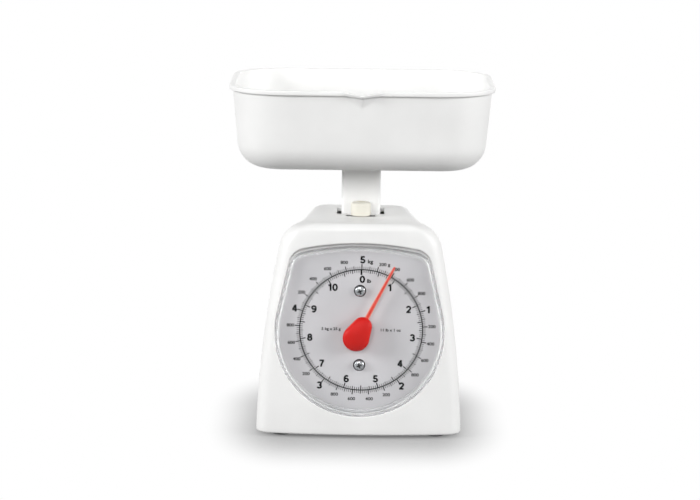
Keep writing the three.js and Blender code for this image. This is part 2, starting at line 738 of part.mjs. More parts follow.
// The cover is a cap with a rounded front edge; its skirt ends just before the dial plate.
function makeCover() {
  const skirtEnd = DIAL_FRONT - SEAT_GAP;
  const edge = EDGE_ANGLES.map((degrees) => degrees * DEGREE);
  const innerRound = COVER_EDGE_RADIUS - COVER_WALL;
  const edgeBack = COVER_FRONT + COVER_EDGE_RADIUS;
  const arc = (radius, angle) => coverRing(
    radius * Math.cos(angle) - COVER_EDGE_RADIUS,
    edgeBack - radius * Math.sin(angle),
  );
  const rings = [
    ...edge.toReversed().map((angle) => arc(innerRound, angle)),
    coverRing(-COVER_WALL, skirtEnd),
    coverRing(0, skirtEnd),
    ...edge.map((angle) => arc(COVER_EDGE_RADIUS, angle)),
  ];
  const clips = CLIP_ANGLES.map((degrees) => makeClip(degrees * DEGREE, skirtEnd));
  return clips.reduce((whole, clip) => whole.add(clip), solid(loft(rings)));
}

// Where a ray from the dial axis leaves the cover's outline, and the way the outline faces there.
function coverEdge(angle) {
  const ray = new THREE.Vector2(Math.cos(angle), Math.sin(angle));
  const points = coverOutline(0);
  const ahead = (i) => points[(i + 1) % points.length];
  const crossed = points.findIndex((p, i) => ray.cross(p) <= 0 && ray.cross(ahead(i)) > 0);
  const from = points[crossed];
  const to = ahead(crossed);
  const share = ray.cross(from) / (ray.cross(from) - ray.cross(to));
  const facing = Math.atan2(from.x - to.x, to.y - from.y);
  return { place: from.clone().lerp(to, share), facing };
}

// A snap clip on the skirt, just behind the housing's front wall.
function makeClip(angle, skirtEnd) {
  const { place, facing } = coverEdge(angle);
  const half = CLIP_WIDTH / 2;
  const behindWall = frontInnerAt(Math.abs(place.x) + half, place.y + DIAL_HEIGHT + half) + SEAT_GAP;
  const clipEnd = Math.min(behindWall + CLIP_LENGTH, skirtEnd);
  const clip = block(-COVER_WALL / 2, CLIP_REACH, behindWall, clipEnd, -half, half);
  clip.rotateY(-facing).translate(place.x, 0, place.y + DIAL_HEIGHT);
  return solid(clip);
}

function makeDial() {
  const shape = coverShape(DIAL_MARGIN);
  const hole = (z, radius) => shape.holes.push(circlePath(0, z, radius));
  hole(0, DIAL_HOLE_RADIUS);
  hole(UPPER_SCREW_RISE, DIAL_SCREW.shank + FIT_GAP);
  hole(-LOWER_SCREW_DROP, DIAL_SCREW.shank + FIT_GAP);
  return atDial(shape, DIAL_FRONT, DIAL_BACK);
}

// A folded sheet frame: front plate, two cheeks, top bridge, floor flanges and the rear shaft strip.
function makeChassis() {
  const half = CHASSIS_HALF_WIDTH;
  const bridgeBack = KNOB_Y + BRIDGE_BEHIND_KNOB;
  const upperPivot = UPPER_PIN_Z - ARM_RISE;
  const lowerPivot = LOWER_PIN_Z - ARM_RISE;
  const cheek = new THREE.Shape([
    new THREE.Vector2(PLATE_FRONT, CHASSIS_BOTTOM),
    new THREE.Vector2(CHASSIS_REAR, CHASSIS_BOTTOM),
    new THREE.Vector2(CHASSIS_REAR, upperPivot + PIVOT_MARGIN),
    new THREE.Vector2(PIVOT_Y - PIVOT_MARGIN, upperPivot + PIVOT_MARGIN),
    new THREE.Vector2(bridgeBack, BRIDGE_TOP),
    new THREE.Vector2(PLATE_FRONT, BRIDGE_TOP),
  ]);
  cheek.holes.push(
    rectanglePath(
      PLATE_BACK + WINDOW_MARGIN,
      CHASSIS_REAR - WINDOW_MARGIN,
      lowerPivot + WINDOW_MARGIN,
      upperPivot - WINDOW_MARGIN,
    ),
  );
  [upperPivot, lowerPivot].forEach((z) =>
    cheek.holes.push(circlePath(PIVOT_Y, z, PIN_RADIUS + FIT_GAP)),
  );
  const stripBottom = DIAL_HEIGHT - STRIP_HALF_HEIGHT;
  const stripTop = DIAL_HEIGHT + STRIP_HALF_HEIGHT;
  const stopBottom = SPRING_FOOT_TOP + TRAVEL_UP + SEAT_GAP;
  const stopEdge = STOP_TAB_OVERLAP - CARRIER_HALF_WIDTH;
  const standoff = (z) => rod(STANDOFF_RADIUS, DIAL_BACK + SEAT_GAP, PLATE_BACK).translate(0, 0, z);
  const floorTop = CHASSIS_BOTTOM + CHASSIS_SHEET;
  const flangeEdge = half + CHASSIS_FLANGE;
  const frame = joined([
    plateAcross(cheek, -half, -CHEEK_INNER),
    plateAcross(cheek, CHEEK_INNER, half),
    block(-half, half, PLATE_FRONT, PLATE_BACK, CHASSIS_BOTTOM, BRIDGE_TOP),
    block(-half, half, PLATE_FRONT, bridgeBack, BRIDGE_BOTTOM, BRIDGE_TOP),
    block(-flangeEdge, -CHEEK_INNER, PLATE_FRONT, CHASSIS_REAR, CHASSIS_BOTTOM, floorTop),
    block(CHEEK_INNER, flangeEdge, PLATE_FRONT, CHASSIS_REAR, CHASSIS_BOTTOM, floorTop),
    block(-half, STRIP_PAST_SHAFT, STRIP_FRONT, STRIP_BACK, stripBottom, stripTop),
    block(-half, stopEdge, STRIP_FRONT, STRIP_BACK, stopBottom, stripTop),
    standoff(DIAL_HEIGHT + UPPER_SCREW_RISE),
    standoff(DIAL_HEIGHT - LOWER_SCREW_DROP),
  ]);
  const across = (radius, z, from, to) => rod(radius, from, to + CUT_MARGIN).translate(0, 0, z);
  const upright = (radius, x, y, from, to) =>
    alongZ(rod(radius, from - CUT_MARGIN, to + CUT_MARGIN)).translate(x, y, 0);
  const slotX = TAB_HALF_WIDTH + SLOT_GAP;
  const slotBottom = TAB_BOTTOM - ZERO_TRAVEL - SLOT_GAP;
  const slotTop = TAB_BOTTOM + TAB_HEIGHT + ZERO_TRAVEL + SLOT_GAP;
  return cutAway(frame, [
    across(BUSH_RADIUS + FIT_GAP, DIAL_HEIGHT, DIAL_BACK, STRIP_BACK),
    across(DIAL_SCREW.shank, DIAL_HEIGHT + UPPER_SCREW_RISE, DIAL_BACK, PLATE_BACK),
    across(DIAL_SCREW.shank, DIAL_HEIGHT - LOWER_SCREW_DROP, DIAL_BACK, PLATE_BACK),
    upright(ZERO_SCREW_RADIUS + FIT_GAP, 0, KNOB_Y, BRIDGE_BOTTOM, BRIDGE_TOP),
    block(-slotX, slotX, PLATE_FRONT - CUT_MARGIN, PLATE_BACK + CUT_MARGIN, slotBottom, slotTop),
    ...CHASSIS_SCREW_PLACES.map(({ x, y }) =>
      upright(CHASSIS_SCREW.shank + FIT_GAP, x, y, CHASSIS_BOTTOM, floorTop),
    ),
  ]);
}

// A flanged bush along Y; the flange lies on the side given by the direction.
function makeBush(front, back, direction) {
  const bore = SHAFT_RADIUS + FIT_GAP;
  const flangeSide = direction < 0 ? front : back;
  const flangeEnd = flangeSide + direction * BUSH_FLANGE;
  const profile = direction < 0
    ? [[bore, flangeEnd], [BUSH_FLANGE_RADIUS, flangeEnd], [BUSH_FLANGE_RADIUS, front],
      [BUSH_RADIUS, front], [BUSH_RADIUS, back], [bore, back], [bore, flangeEnd]]
    : [[bore, front], [BUSH_RADIUS, front], [BUSH_RADIUS, back], [BUSH_FLANGE_RADIUS, back],
      [BUSH_FLANGE_RADIUS, flangeEnd], [bore, flangeEnd], [bore, front]];
  return turned(profile).translate(0, 0, DIAL_HEIGHT);
}

// A headed pin along X, its head on the +X side.
function makePin(from, headAt) {
  return alongX(
    turned([
      [0, from],
      [PIN_RADIUS, from],
      [PIN_RADIUS, headAt],
      [PIN_HEAD_RADIUS, headAt],
      [PIN_HEAD_RADIUS, headAt + PIN_HEAD],
      [0, headAt + PIN_HEAD],
    ]),
  );
}

// An arm about its rear pivot, pointing towards -Y. The front hole is a slot, because the carrier's
// pin keeps to a straight line while the arm's end follows a circle.
function makeArm() {
  const longest = Math.hypot(ARM_LENGTH, TURN_TRAVEL / 2);
  const slotCentre = -(ARM_LENGTH + longest) / 2;
  const slotRun = (longest - ARM_LENGTH) / 2 + SLOT_GAP;
  const outline = new THREE.Shape();
  outline.absarc(0, 0, ARM_HALF_HEIGHT, -Math.PI / 2, Math.PI / 2, false);
  outline.absarc(slotCentre, 0, ARM_HALF_HEIGHT, Math.PI / 2, (3 * Math.PI) / 2, false);
  outline.closePath();
  outline.holes.push(slotPath(slotCentre, 0, slotRun, PIN_RADIUS + SLOT_GAP));
  outline.holes.push(circlePath(0, 0, PIN_RADIUS + FIT_GAP));
  const webEnd = -ARM_WEB_START - ARM_WEB;
  const inside = ARM_INNER + ARM_SHEET / 2;
  return joined([
    plateAcross(outline, -ARM_OUTER, -ARM_INNER),
    plateAcross(outline, ARM_INNER, ARM_OUTER),
    block(-inside, inside, webEnd, -ARM_WEB_START, -ARM_SHEET / 2, ARM_SHEET / 2),
  ]);
}

const RACK_FLANGE_BOTTOM = UPPER_PIN_Z - RACK_FLANGE_DROP - RACK_FLANGE_HEIGHT;
const RACK_SCREW_HEIGHTS = [RACK_SCREW_INSET, RACK_FLANGE_HEIGHT - RACK_SCREW_INSET]
  .map((rise) => RACK_FLANGE_BOTTOM + rise);
const POST_SCREW_Z = CARRIER_TOP + TENON_HEIGHT / 2;

// The moving frame that carries the post, hangs on the spring and is led by the two arms.
function makeCarrier() {
  const half = CARRIER_HALF_WIDTH;
  const inner = half - CARRIER_SHEET;
  const tenonX = POST_WIDTH / 2 - POST_WALL - SEAT_GAP;
  const tenonY = POST_DEPTH / 2 - POST_WALL - SEAT_GAP;
  const saddleY = POST_DEPTH / 2;
  const saddleBottom = CARRIER_TOP - SADDLE_THICKNESS;
  const footFront = KNOB_Y - SPRING_FOOT_AHEAD;
  const earFront = STRIP_FRONT - STOP_EAR_OVERLAP;
  const earEdge = STOP_EAR_WIDTH - half;
  const frame = joined([
    block(-half, -inner, CARRIER_FRONT, CARRIER_BACK, CARRIER_BOTTOM, CARRIER_TOP),
    block(inner, half, CARRIER_FRONT, CARRIER_BACK, CARRIER_BOTTOM, CARRIER_TOP),
    block(-half, half, CARRIER_BACK - CARRIER_SHEET, CARRIER_BACK, CARRIER_BOTTOM, CARRIER_TOP),
    block(-half, half, CARRIER_FRONT, CARRIER_BACK, CARRIER_BOTTOM, CARRIER_BOTTOM + CARRIER_SHEET),
    block(-half, half, footFront, CARRIER_BACK, SPRING_FOOT_BOTTOM, SPRING_FOOT_TOP),
    block(-half, earEdge, earFront, KNOB_Y, SPRING_FOOT_BOTTOM, SPRING_FOOT_TOP),
    block(-POST_WIDTH / 2, POST_WIDTH / 2, POST_Y - saddleY, POST_Y + saddleY, saddleBottom, CARRIER_TOP),
    block(-tenonX, tenonX, POST_Y - tenonY, POST_Y + tenonY, saddleBottom, CARRIER_TOP + TENON_HEIGHT),
  ]);
  const stemBore = SPRING_WIRE / 2 + SEAT_GAP;
  const sideBore = (radius, from, z) =>
    alongX(rod(radius, from - CUT_MARGIN, half + CUT_MARGIN)).translate(0, POST_Y, z);
  const stemHole = rod(stemBore, SPRING_FOOT_BOTTOM - CUT_MARGIN, SPRING_FOOT_TOP + CUT_MARGIN);
  return cutAway(frame, [
    sideBore(PIN_RADIUS + FIT_GAP, -half, UPPER_PIN_Z),
    sideBore(PIN_RADIUS + FIT_GAP, -half, LOWER_PIN_Z),
    alongZ(stemHole).translate(0, KNOB_Y, 0),
    rod(POST_SCREW.shank, POST_Y, POST_Y + POST_DEPTH).translate(0, 0, POST_SCREW_Z),
    ...RACK_SCREW_HEIGHTS.map((z) => sideBore(RACK_SCREW.shank, inner, z)),
  ]);
}

// Tooth flank of the pinion: an involute from its base circle, as (radius, half angle).
function involuteHalfAngle(radius) {
  const base = PITCH_RADIUS * Math.cos(PRESSURE_ANGLE * DEGREE);
  const involute = (r) => {
    const angle = Math.acos(Math.min(1, base / r));
    return Math.tan(angle) - angle;
  };
  const atPitch = (Math.PI * GEAR_MODULE) / 2 - BACKLASH;
  return atPitch / 2 / PITCH_RADIUS + involute(PITCH_RADIUS) - involute(radius);
}

function makePinion() {
  const tip = PITCH_RADIUS + PINION_ADDENDUM * GEAR_MODULE;
  const root = PITCH_RADIUS - (RACK_ADDENDUM + ROOT_CLEARANCE) * GEAR_MODULE;
  const flank = [root, PITCH_RADIUS, (PITCH_RADIUS + tip) / 2, tip];
  const step = (2 * Math.PI) / PINION_TEETH;
  const shape = new THREE.Shape();
  for (let tooth = 0; tooth < PINION_TEETH; tooth++) {
    const middle = (tooth + 0.5) * step;
    const side = (radius, sign) => {
      const angle = middle + sign * involuteHalfAngle(radius);
      return [radius * Math.cos(angle), radius * Math.sin(angle)];
    };
    const points = [...flank.map((r) => side(r, -1)), ...flank.toReversed().map((r) => side(r, 1))];
    points.forEach(([x, y]) => (shape.currentPoint.lengthSq() ? shape.lineTo(x, y) : shape.moveTo(x, y)));
  }
  shape.closePath();
  shape.holes.push(circlePath(0, 0, SHAFT_RADIUS + FIT_GAP));
  return atDial(shape, PINION_FRONT, PINION_BACK);
}

// The rack stands to the right of the pinion: a tooth points at the pinion axis at rest.
function makeRack() {
  const pitch = Math.PI * GEAR_MODULE;
  const slant = Math.tan(PRESSURE_ANGLE * DEGREE);
  const tipX = PITCH_RADIUS - RACK_ADDENDUM * GEAR_MODULE;
  const rootX = PITCH_RADIUS + (PINION_ADDENDUM + ROOT_CLEARANCE) * GEAR_MODULE;
  const halfAt = (x) => (pitch / 2 - BACKLASH) / 2 + (x - PITCH_RADIUS) * slant;
  const below = Math.ceil(TRAVEL_UP / pitch) + RACK_SPARE_TEETH;
  const above = Math.ceil(TRAVEL_DOWN / pitch) + RACK_SPARE_TEETH;
  const shape = new THREE.Shape();
  shape.moveTo(RACK_BACK, -(below + 0.5) * pitch);
  shape.lineTo(RACK_BACK, (above + 0.5) * pitch);
  shape.lineTo(rootX, (above + 0.5) * pitch);
  for (let tooth = above; tooth >= -below; tooth--) {
    shape.lineTo(rootX, tooth * pitch + halfAt(rootX));
    shape.lineTo(tipX, tooth * pitch + halfAt(tipX));
    shape.lineTo(tipX, tooth * pitch - halfAt(tipX));
    shape.lineTo(rootX, tooth * pitch - halfAt(rootX));
  }
  shape.lineTo(rootX, -(below + 0.5) * pitch);
  shape.closePath();
  const top = RACK_FLANGE_BOTTOM + RACK_FLANGE_HEIGHT;
  const spine = RACK_BACK - RACK_BODY / 2;
  const bar = joined([
    atDial(shape, PINION_FRONT, PINION_BACK),
    block(spine, RACK_BACK, PINION_FRONT, PINION_BACK, DIAL_HEIGHT, top),
    block(spine, FLANGE_OUTER, PINION_FRONT, PINION_BACK, RACK_FLANGE_BOTTOM, top),
    block(FLANGE_INNER, FLANGE_OUTER, PINION_FRONT, CARRIER_BACK, RACK_FLANGE_BOTTOM, top),
  ]);
  const holes = RACK_SCREW_HEIGHTS.map((z) => {
    const hole = rod(RACK_SCREW.shank + FIT_GAP, FLANGE_INNER - CUT_MARGIN, FLANGE_OUTER + CUT_MARGIN);
    return alongX(hole).translate(0, POST_Y, z);
  });
  return cutAway(bar, holes);
}

const SHAFT_FRONT = POINTER_BACK - HUB_SKIRT - HUB_DOME / 2;
const SHAFT_BACK = STRIP_BACK + BUSH_FLANGE + RUN_GAP;

function makeShaft() {
  return rod(SHAFT_RADIUS, SHAFT_FRONT, SHAFT_BACK).translate(0, 0, DIAL_HEIGHT);
}

// The hub's teardrop: a wide round rear and a narrow nose, joined by their common tangents.
function hubOutline() {
  const span = HUB_REAR_OFFSET + HUB_NOSE_OFFSET;
  const tangent = Math.asin((HUB_REAR_RADIUS - HUB_NOSE_RADIUS) / span);
  const outline = new THREE.Path();
  outline.absarc(0, HUB_NOSE_OFFSET, HUB_NOSE_RADIUS, tangent, Math.PI - tangent, false);
  outline.absarc(0, -HUB_REAR_OFFSET, HUB_REAR_RADIUS, Math.PI - tangent, 2 * Math.PI + tangent, false);
  outline.closePath();
  return outlinePoints(outline);
}

// The pointer upright about its own axis: domed hub and tapered needle, bored for the shaft.
function makePointer() {
  const skirtFront = POINTER_BACK - HUB_SKIRT;
  const ring = (share, y) => hubOutline().map((p) => new THREE.Vector3(p.x * share, y, p.y * share));
  const rings = [ring(1, POINTER_BACK)];
  DOME_ANGLES.forEach((degrees) =>
    rings.push(ring(Math.cos(degrees * DEGREE), skirtFront - HUB_DOME * Math.sin(degrees * DEGREE))),
  );
  const needle = new THREE.Shape([
    new THREE.Vector2(-NEEDLE_ROOT_HALF, 0),
    new THREE.Vector2(NEEDLE_ROOT_HALF, 0),
    new THREE.Vector2(NEEDLE_TIP_HALF, POINTER_LENGTH - NEEDLE_TIP_HALF),
    new THREE.Vector2(0, POINTER_LENGTH),
    new THREE.Vector2(-NEEDLE_TIP_HALF, POINTER_LENGTH - NEEDLE_TIP_HALF),
  ]);
  const whole = joined([
    loft(rings),
    plateFacing(needle, POINTER_BACK - NEEDLE_THICKNESS, POINTER_BACK),
  ]);
  const boreEnd = SHAFT_FRONT - SEAT_GAP;
  return cutAway(whole, [rod(SHAFT_RADIUS + FIT_GAP, boreEnd, POINTER_BACK + CUT_MARGIN)]);
}

// The post is a tube, closed at the top where the pan sits.
function makePost() {
  const bottom = CARRIER_TOP + SEAT_GAP;
  const top = PAN_BOTTOM + SOCKET_DEPTH - SEAT_GAP;
  const insideX = POST_WIDTH / 2 - POST_WALL;
  const insideY = POST_DEPTH / 2 - POST_WALL;
  const outer = plateFlat(roundedShape(POST_WIDTH / 2, POST_DEPTH / 2, POST_CORNER_RADIUS), bottom, top);
  const hollow = block(-insideX, insideX, -insideY, insideY, bottom - CUT_MARGIN, top - POST_WALL);
  const hole = rod(POST_SCREW.shank + FIT_GAP, 0, POST_DEPTH).translate(0, 0, POST_SCREW_Z);
  return geometryOf(cutAway(solid(outer), [hollow, hole])).translate(0, POST_Y, 0);
}

function makeKnob() {
  const bottom = DECK_HEIGHT + SEAT_GAP;
  const top = bottom + KNOB_HEIGHT;
  const bore = ZERO_SCREW_RADIUS + FIT_GAP;
  const rim = EDGE_ANGLES.map((degrees) => [
    KNOB_RADIUS - KNOB_EDGE_RADIUS * (1 - Math.cos(degrees * DEGREE)),
    top - KNOB_EDGE_RADIUS * (1 - Math.sin(degrees * DEGREE)),
  ]);
  const profile = [
    [0, bottom + KNOB_BORE_DEPTH],
    [bore, bottom + KNOB_BORE_DEPTH],
    [bore, bottom],
    [KNOB_RADIUS - FIT_GAP, bottom],
    [KNOB_RADIUS, bottom + FIT_GAP],
    ...rim,
    [0, top],
  ];
  return alongZ(turned(profile, ROUND_STEPS)).translate(0, KNOB_Y, 0);
}

function makeZeroScrew() {
  const collarBottom = BRIDGE_TOP + SEAT_GAP;
  const groove = ZERO_SCREW_RADIUS - CLIP_GROOVE;
  const grooveBottom = CLIP_TOP - CLIP_THICKNESS - FIT_GAP;
  return alongZ(
    turned([
      [0, HANGER_TOP - HANGER_SCREW_GRIP],
      [ZERO_SCREW_RADIUS, HANGER_TOP - HANGER_SCREW_GRIP],
      [ZERO_SCREW_RADIUS, grooveBottom],
      [groove, grooveBottom],
      [groove, CLIP_TOP + FIT_GAP],
      [ZERO_SCREW_RADIUS, CLIP_TOP + FIT_GAP],
      [ZERO_SCREW_RADIUS, collarBottom],
      [COLLAR_RADIUS, collarBottom],
      [COLLAR_RADIUS, collarBottom + COLLAR_HEIGHT],
      [ZERO_SCREW_RADIUS, collarBottom + COLLAR_HEIGHT],
      [ZERO_SCREW_RADIUS, DECK_HEIGHT + KNOB_BORE_DEPTH],
      [0, DECK_HEIGHT + KNOB_BORE_DEPTH],
    ]),
  ).translate(0, KNOB_Y, 0);
}

function makeScrewClip() {
  const inner = ZERO_SCREW_RADIUS - CLIP_GROOVE + FIT_GAP;
  const bottom = CLIP_TOP - CLIP_THICKNESS;
  return alongZ(
    turned([
      [inner, bottom],
      [COLLAR_RADIUS, bottom],
      [COLLAR_RADIUS, CLIP_TOP],
      [inner, CLIP_TOP],
      [inner, bottom],
    ]),
  ).translate(0, KNOB_Y, 0);
}

// The nut block that the zero screw lifts; a tab in the chassis slot keeps it from turning.
function makeHanger() {
  const halfX = HANGER_HALF_WIDTH;
  const halfY = HANGER_HALF_DEPTH;
  const nut = joined([
    block(-halfX, halfX, KNOB_Y - halfY, KNOB_Y + halfY, HANGER_BOTTOM, HANGER_TOP),
    block(-TAB_HALF_WIDTH, TAB_HALF_WIDTH, PLATE_FRONT, KNOB_Y, TAB_BOTTOM, TAB_BOTTOM + TAB_HEIGHT),
  ]);
  const free = ZERO_TRAVEL + HANGER_BORE_SPARE;
  const screwEnd = HANGER_TOP - HANGER_SCREW_GRIP - free;
  const stemEnd = HANGER_BOTTOM + HANGER_STEM_GRIP + free;
  const screwBore = rod(ZERO_SCREW_RADIUS + FIT_GAP, screwEnd, HANGER_TOP + CUT_MARGIN);
  const stemBore = rod(SPRING_WIRE / 2 + SEAT_GAP, HANGER_BOTTOM - CUT_MARGIN, stemEnd);
  return cutAway(nut, [screwBore, stemBore].map((bore) => alongZ(bore).translate(0, KNOB_Y, 0)));
}

// The spring's wire: a straight stem, a run-in that opens out, the coils, and the same again.
class SpringPath extends THREE.Curve {
  getPoint(t, target = new THREE.Vector3()) {
    const low = SPRING_FOOT_BOTTOM - SPRING_STEM;
    const high = HANGER_BOTTOM + HANGER_STEM_GRIP;
    const coilHeight = SPRING_COILS * SPRING_PITCH;
    const coilLow = (SPRING_FOOT_TOP + HANGER_BOTTOM - coilHeight) / 2;
    const coilHigh = coilLow + coilHeight;
    const turns = (SPRING_COILS + 2 * SPRING_RUN_IN) * t - SPRING_RUN_IN;
    const lead = Math.max(-turns, turns - SPRING_COILS, 0) / SPRING_RUN_IN;
    const radius = SPRING_MEAN_RADIUS * (1 - THREE.MathUtils.smoothstep(lead, 0, SPRING_OPENING));
    const angle = 2 * Math.PI * turns;
    const climb = lead ** SPRING_CLIMB;
    let z = coilLow + turns * SPRING_PITCH;
    if (turns < 0) z = THREE.MathUtils.lerp(coilLow, low, climb);
    if (turns > SPRING_COILS) z = THREE.MathUtils.lerp(coilHigh, high, climb);
    return target.set(radius * Math.cos(angle), KNOB_Y + radius * Math.sin(angle), z);
  }
}

// Least gap between the turns, measured on points along the wire that lie over half a turn apart.
function springGap(points, perTurn) {
  let least = Infinity;
  points.forEach((p, i) => {
    for (let j = i + perTurn / 2 + 1; j < points.length; j++)
      least = Math.min(least, p.distanceTo(points[j]) - SPRING_WIRE);
  });
  return least;
}

function makeSpring() {
  const path = new SpringPath();
  const turns = SPRING_COILS + 2 * SPRING_RUN_IN;
  const steps = Math.round(turns * SPRING_STEPS);
  const section = new THREE.Shape();
  section.absarc(0, 0, SPRING_WIRE / 2, 0, 2 * Math.PI, false);
  const wire = new THREE.Shape(section.getSpacedPoints(SPRING_SIDES).slice(0, SPRING_SIDES));
  const points = path.getSpacedPoints(steps);
  console.log("main_spring least gap between turns, mm:", springGap(points, SPRING_STEPS).toFixed(2));
  return new THREE.ExtrudeGeometry(wire, { steps, bevelEnabled: false, extrudePath: path });
}

// A pan ring: the rim's rounded rectangle moved in, with the pouring lip drawn out at the front.
function panRing(height, inset) {
  const outline = roundedOutline(
    PAN_HALF_WIDTH - inset,
    PAN_HALF_DEPTH - inset,
    PAN_HALF_DEPTH - inset,
    PAN_CORNER_RADIUS - inset,
    PAN_FRONT_STEPS,
  );
  const lift = Math.max(0, (height - PAN_HEIGHT + SPOUT_DROP) / SPOUT_DROP);
  return outline.map((p) => {
    const near = p.y < 0 ? Math.max(0, 1 - Math.abs(p.x) / SPOUT_HALF_WIDTH) : 0;
    return new THREE.Vector3(p.x, p.y - SPOUT_PROUD * near * lift, height);
  });
}

function makePan() {
  const draft = PAN_DRAFT * DEGREE;
  const arcEnd = PAN_BOTTOM_RADIUS * (1 - Math.sin(draft));
  const wallInset = (height) => PAN_LIP + (PAN_HEIGHT - height) * Math.tan(draft);
  const arcCentre = wallInset(arcEnd) + PAN_BOTTOM_RADIUS * Math.cos(draft);
  const arcRing = (radius, share) => {
    const angle = draft + (Math.PI / 2 - draft) * share;
    return panRing(PAN_BOTTOM_RADIUS - radius * Math.sin(angle), arcCentre - radius * Math.cos(angle));
  };
  const lipUnder = PAN_HEIGHT - PAN_LIP_HEIGHT;
  const spoutFoot = PAN_HEIGHT - SPOUT_DROP;
  const walls = [spoutFoot, (spoutFoot + lipUnder) / 2, lipUnder];
  const thick = PAN_WALL / Math.cos(draft);
  const rings = [
    ...PAN_ARC_SHARES.map((share) => arcRing(PAN_BOTTOM_RADIUS, share)),
    ...walls.map((height) => panRing(height, wallInset(height))),
    panRing(lipUnder, PAN_LIP_ROUND / 2),
    panRing(lipUnder + PAN_LIP_ROUND, 0),
    panRing(PAN_HEIGHT - PAN_LIP_ROUND, 0),
    panRing(PAN_HEIGHT, PAN_LIP_ROUND),
    panRing(PAN_HEIGHT, wallInset(PAN_HEIGHT) + thick - PAN_LIP_ROUND / 2),
    ...walls.toReversed().map((height) => panRing(height, wallInset(height) + thick)),
    ...PAN_ARC_SHARES.toReversed().map((share) => arcRing(PAN_BOTTOM_RADIUS - PAN_WALL, share)),
  ];
  const seatX = POST_WIDTH / 2 + SEAT_GAP;
  const seatY = POST_DEPTH / 2 + SEAT_GAP;
  const corner = POST_CORNER_RADIUS + SOCKET_WALL;
  const socket = roundedShape(seatX + SOCKET_WALL, seatY + SOCKET_WALL, corner);
  const pan = joined([loft(rings), plateFlat(socket, PAN_WALL / 2, SOCKET_DEPTH + SOCKET_WALL)]);
  return cutAway(pan, [block(-seatX, seatX, -seatY, seatY, -CUT_MARGIN, SOCKET_DEPTH)]);
}

// Assembly
const scale = new THREE.Group();

function place(parent, name, made, material) {
  const geometry = made.isBufferGeometry ? made : geometryOf(made);
  const mesh = new THREE.Mesh(geometry, material);
  mesh.name = name;
  parent.add(mesh);
  return mesh;
}

function group(x, y, z) {
  const made = new THREE.Group();
  made.position.set(x, y, z);
  scale.add(made);
  return made;
}

place(scale, "housing", makeHousing(), WHITE_PLASTIC);
place(scale, "base_plate", makeBasePlate(), WHITE_PLASTIC);
FOOT_PLACES.forEach(({ x, y }, i) =>
  place(scale, `foot_${i + 1}`, makeFoot(), BLACK_RUBBER).position.set(x, y, 0),
);
BOSS_PLACES.forEach(({ x, y }, i) => {
  const made = place(scale, `base_screw_${i + 1}`, screw(BASE_SCREW), PLATED_STEEL);
  made.rotation.x = -Math.PI / 2;
  made.position.set(x, y, FOOT_HEIGHT - SEAT_GAP);
});
place(scale, "overload_stop", makeBumper(), BLACK_RUBBER);

place(scale, "dial_cover", makeCover(), CLEAR_PLASTIC);
place(scale, "dial_plate", makeDial(), DIAL_GREY);
[["upper", UPPER_SCREW_RISE], ["lower", -LOWER_SCREW_DROP]].forEach(([which, rise]) => {
  const made = place(scale, `${which}_dial_screw`, screw(DIAL_SCREW, ROUND_STEPS), BRIGHT_STEEL);
  made.rotation.x = Math.PI;
  made.position.set(0, DIAL_FRONT - SEAT_GAP, DIAL_HEIGHT + rise);
});

place(scale, "chassis", makeChassis(), PLATED_STEEL);
CHASSIS_SCREW_PLACES.forEach(({ x, y }, i) => {
  const made = place(scale, `chassis_screw_${i + 1}`, screw(CHASSIS_SCREW), PLATED_STEEL);
  made.rotation.x = Math.PI / 2;
  made.position.set(x, y, CHASSIS_BOTTOM + CHASSIS_SHEET + SEAT_GAP);
});
place(scale, "front_bush", makeBush(PLATE_FRONT, PLATE_BACK, -1), BRASS);
place(scale, "rear_bush", makeBush(STRIP_FRONT, STRIP_BACK, 1), BRASS);

[["upper", UPPER_PIN_Z], ["lower", LOWER_PIN_Z]].forEach(([which, pinZ]) => {
  const pivotZ = pinZ - ARM_RISE;
  const rearPin = makePin(-CHASSIS_HALF_WIDTH - PIN_HEAD, CHASSIS_HALF_WIDTH + SEAT_GAP);
  place(scale, `${which}_rear_pin`, rearPin, PLATED_STEEL).position.set(0, PIVOT_Y, pivotZ);
  const arm = group(0, PIVOT_Y, pivotZ);
  arm.rotation.x = -Math.atan2(ARM_RISE, ARM_LENGTH);
  place(arm, `${which}_arm`, makeArm(), PLATED_STEEL);
  const frontPin = makePin(-ARM_OUTER - SEAT_GAP, ARM_OUTER + SEAT_GAP);
  place(scale, `${which}_front_pin`, frontPin, PLATED_STEEL).position.set(0, POST_Y, pinZ);
});

place(scale, "carrier", makeCarrier(), PLATED_STEEL);
place(scale, "post", makePost(), WHITE_PLASTIC);
const postScrew = place(scale, "post_screw", screw(POST_SCREW), PLATED_STEEL);
postScrew.position.set(0, POST_Y + POST_DEPTH / 2 + SEAT_GAP, POST_SCREW_Z);
place(scale, "rack", makeRack(), BRASS);
RACK_SCREW_HEIGHTS.forEach((z, i) => {
  const made = place(scale, `rack_screw_${i + 1}`, screw(RACK_SCREW), PLATED_STEEL);
  made.rotation.z = -Math.PI / 2;
  made.position.set(FLANGE_OUTER + SEAT_GAP, POST_Y, z);
});

place(scale, "pinion", makePinion(), BRASS);
place(scale, "pointer_shaft", makeShaft(), BRIGHT_STEEL);
const pointer = group(0, 0, DIAL_HEIGHT);
pointer.rotation.y = READING_ANGLE * DEGREE;
place(pointer, "pointer", makePointer(), RED_PLASTIC);

place(scale, "zero_knob", makeKnob(), CREAM_PLASTIC);
place(scale, "zero_screw", makeZeroScrew(), PLATED_STEEL);
place(scale, "screw_clip", makeScrewClip(), PLATED_STEEL);
place(scale, "spring_hanger", makeHanger(), BRASS);
place(scale, "main_spring", makeSpring(), BRIGHT_STEEL);

const pan = group(0, POST_Y, PAN_BOTTOM);
place(pan, "pan", makePan(), WHITE_PLASTIC);

export default scale;
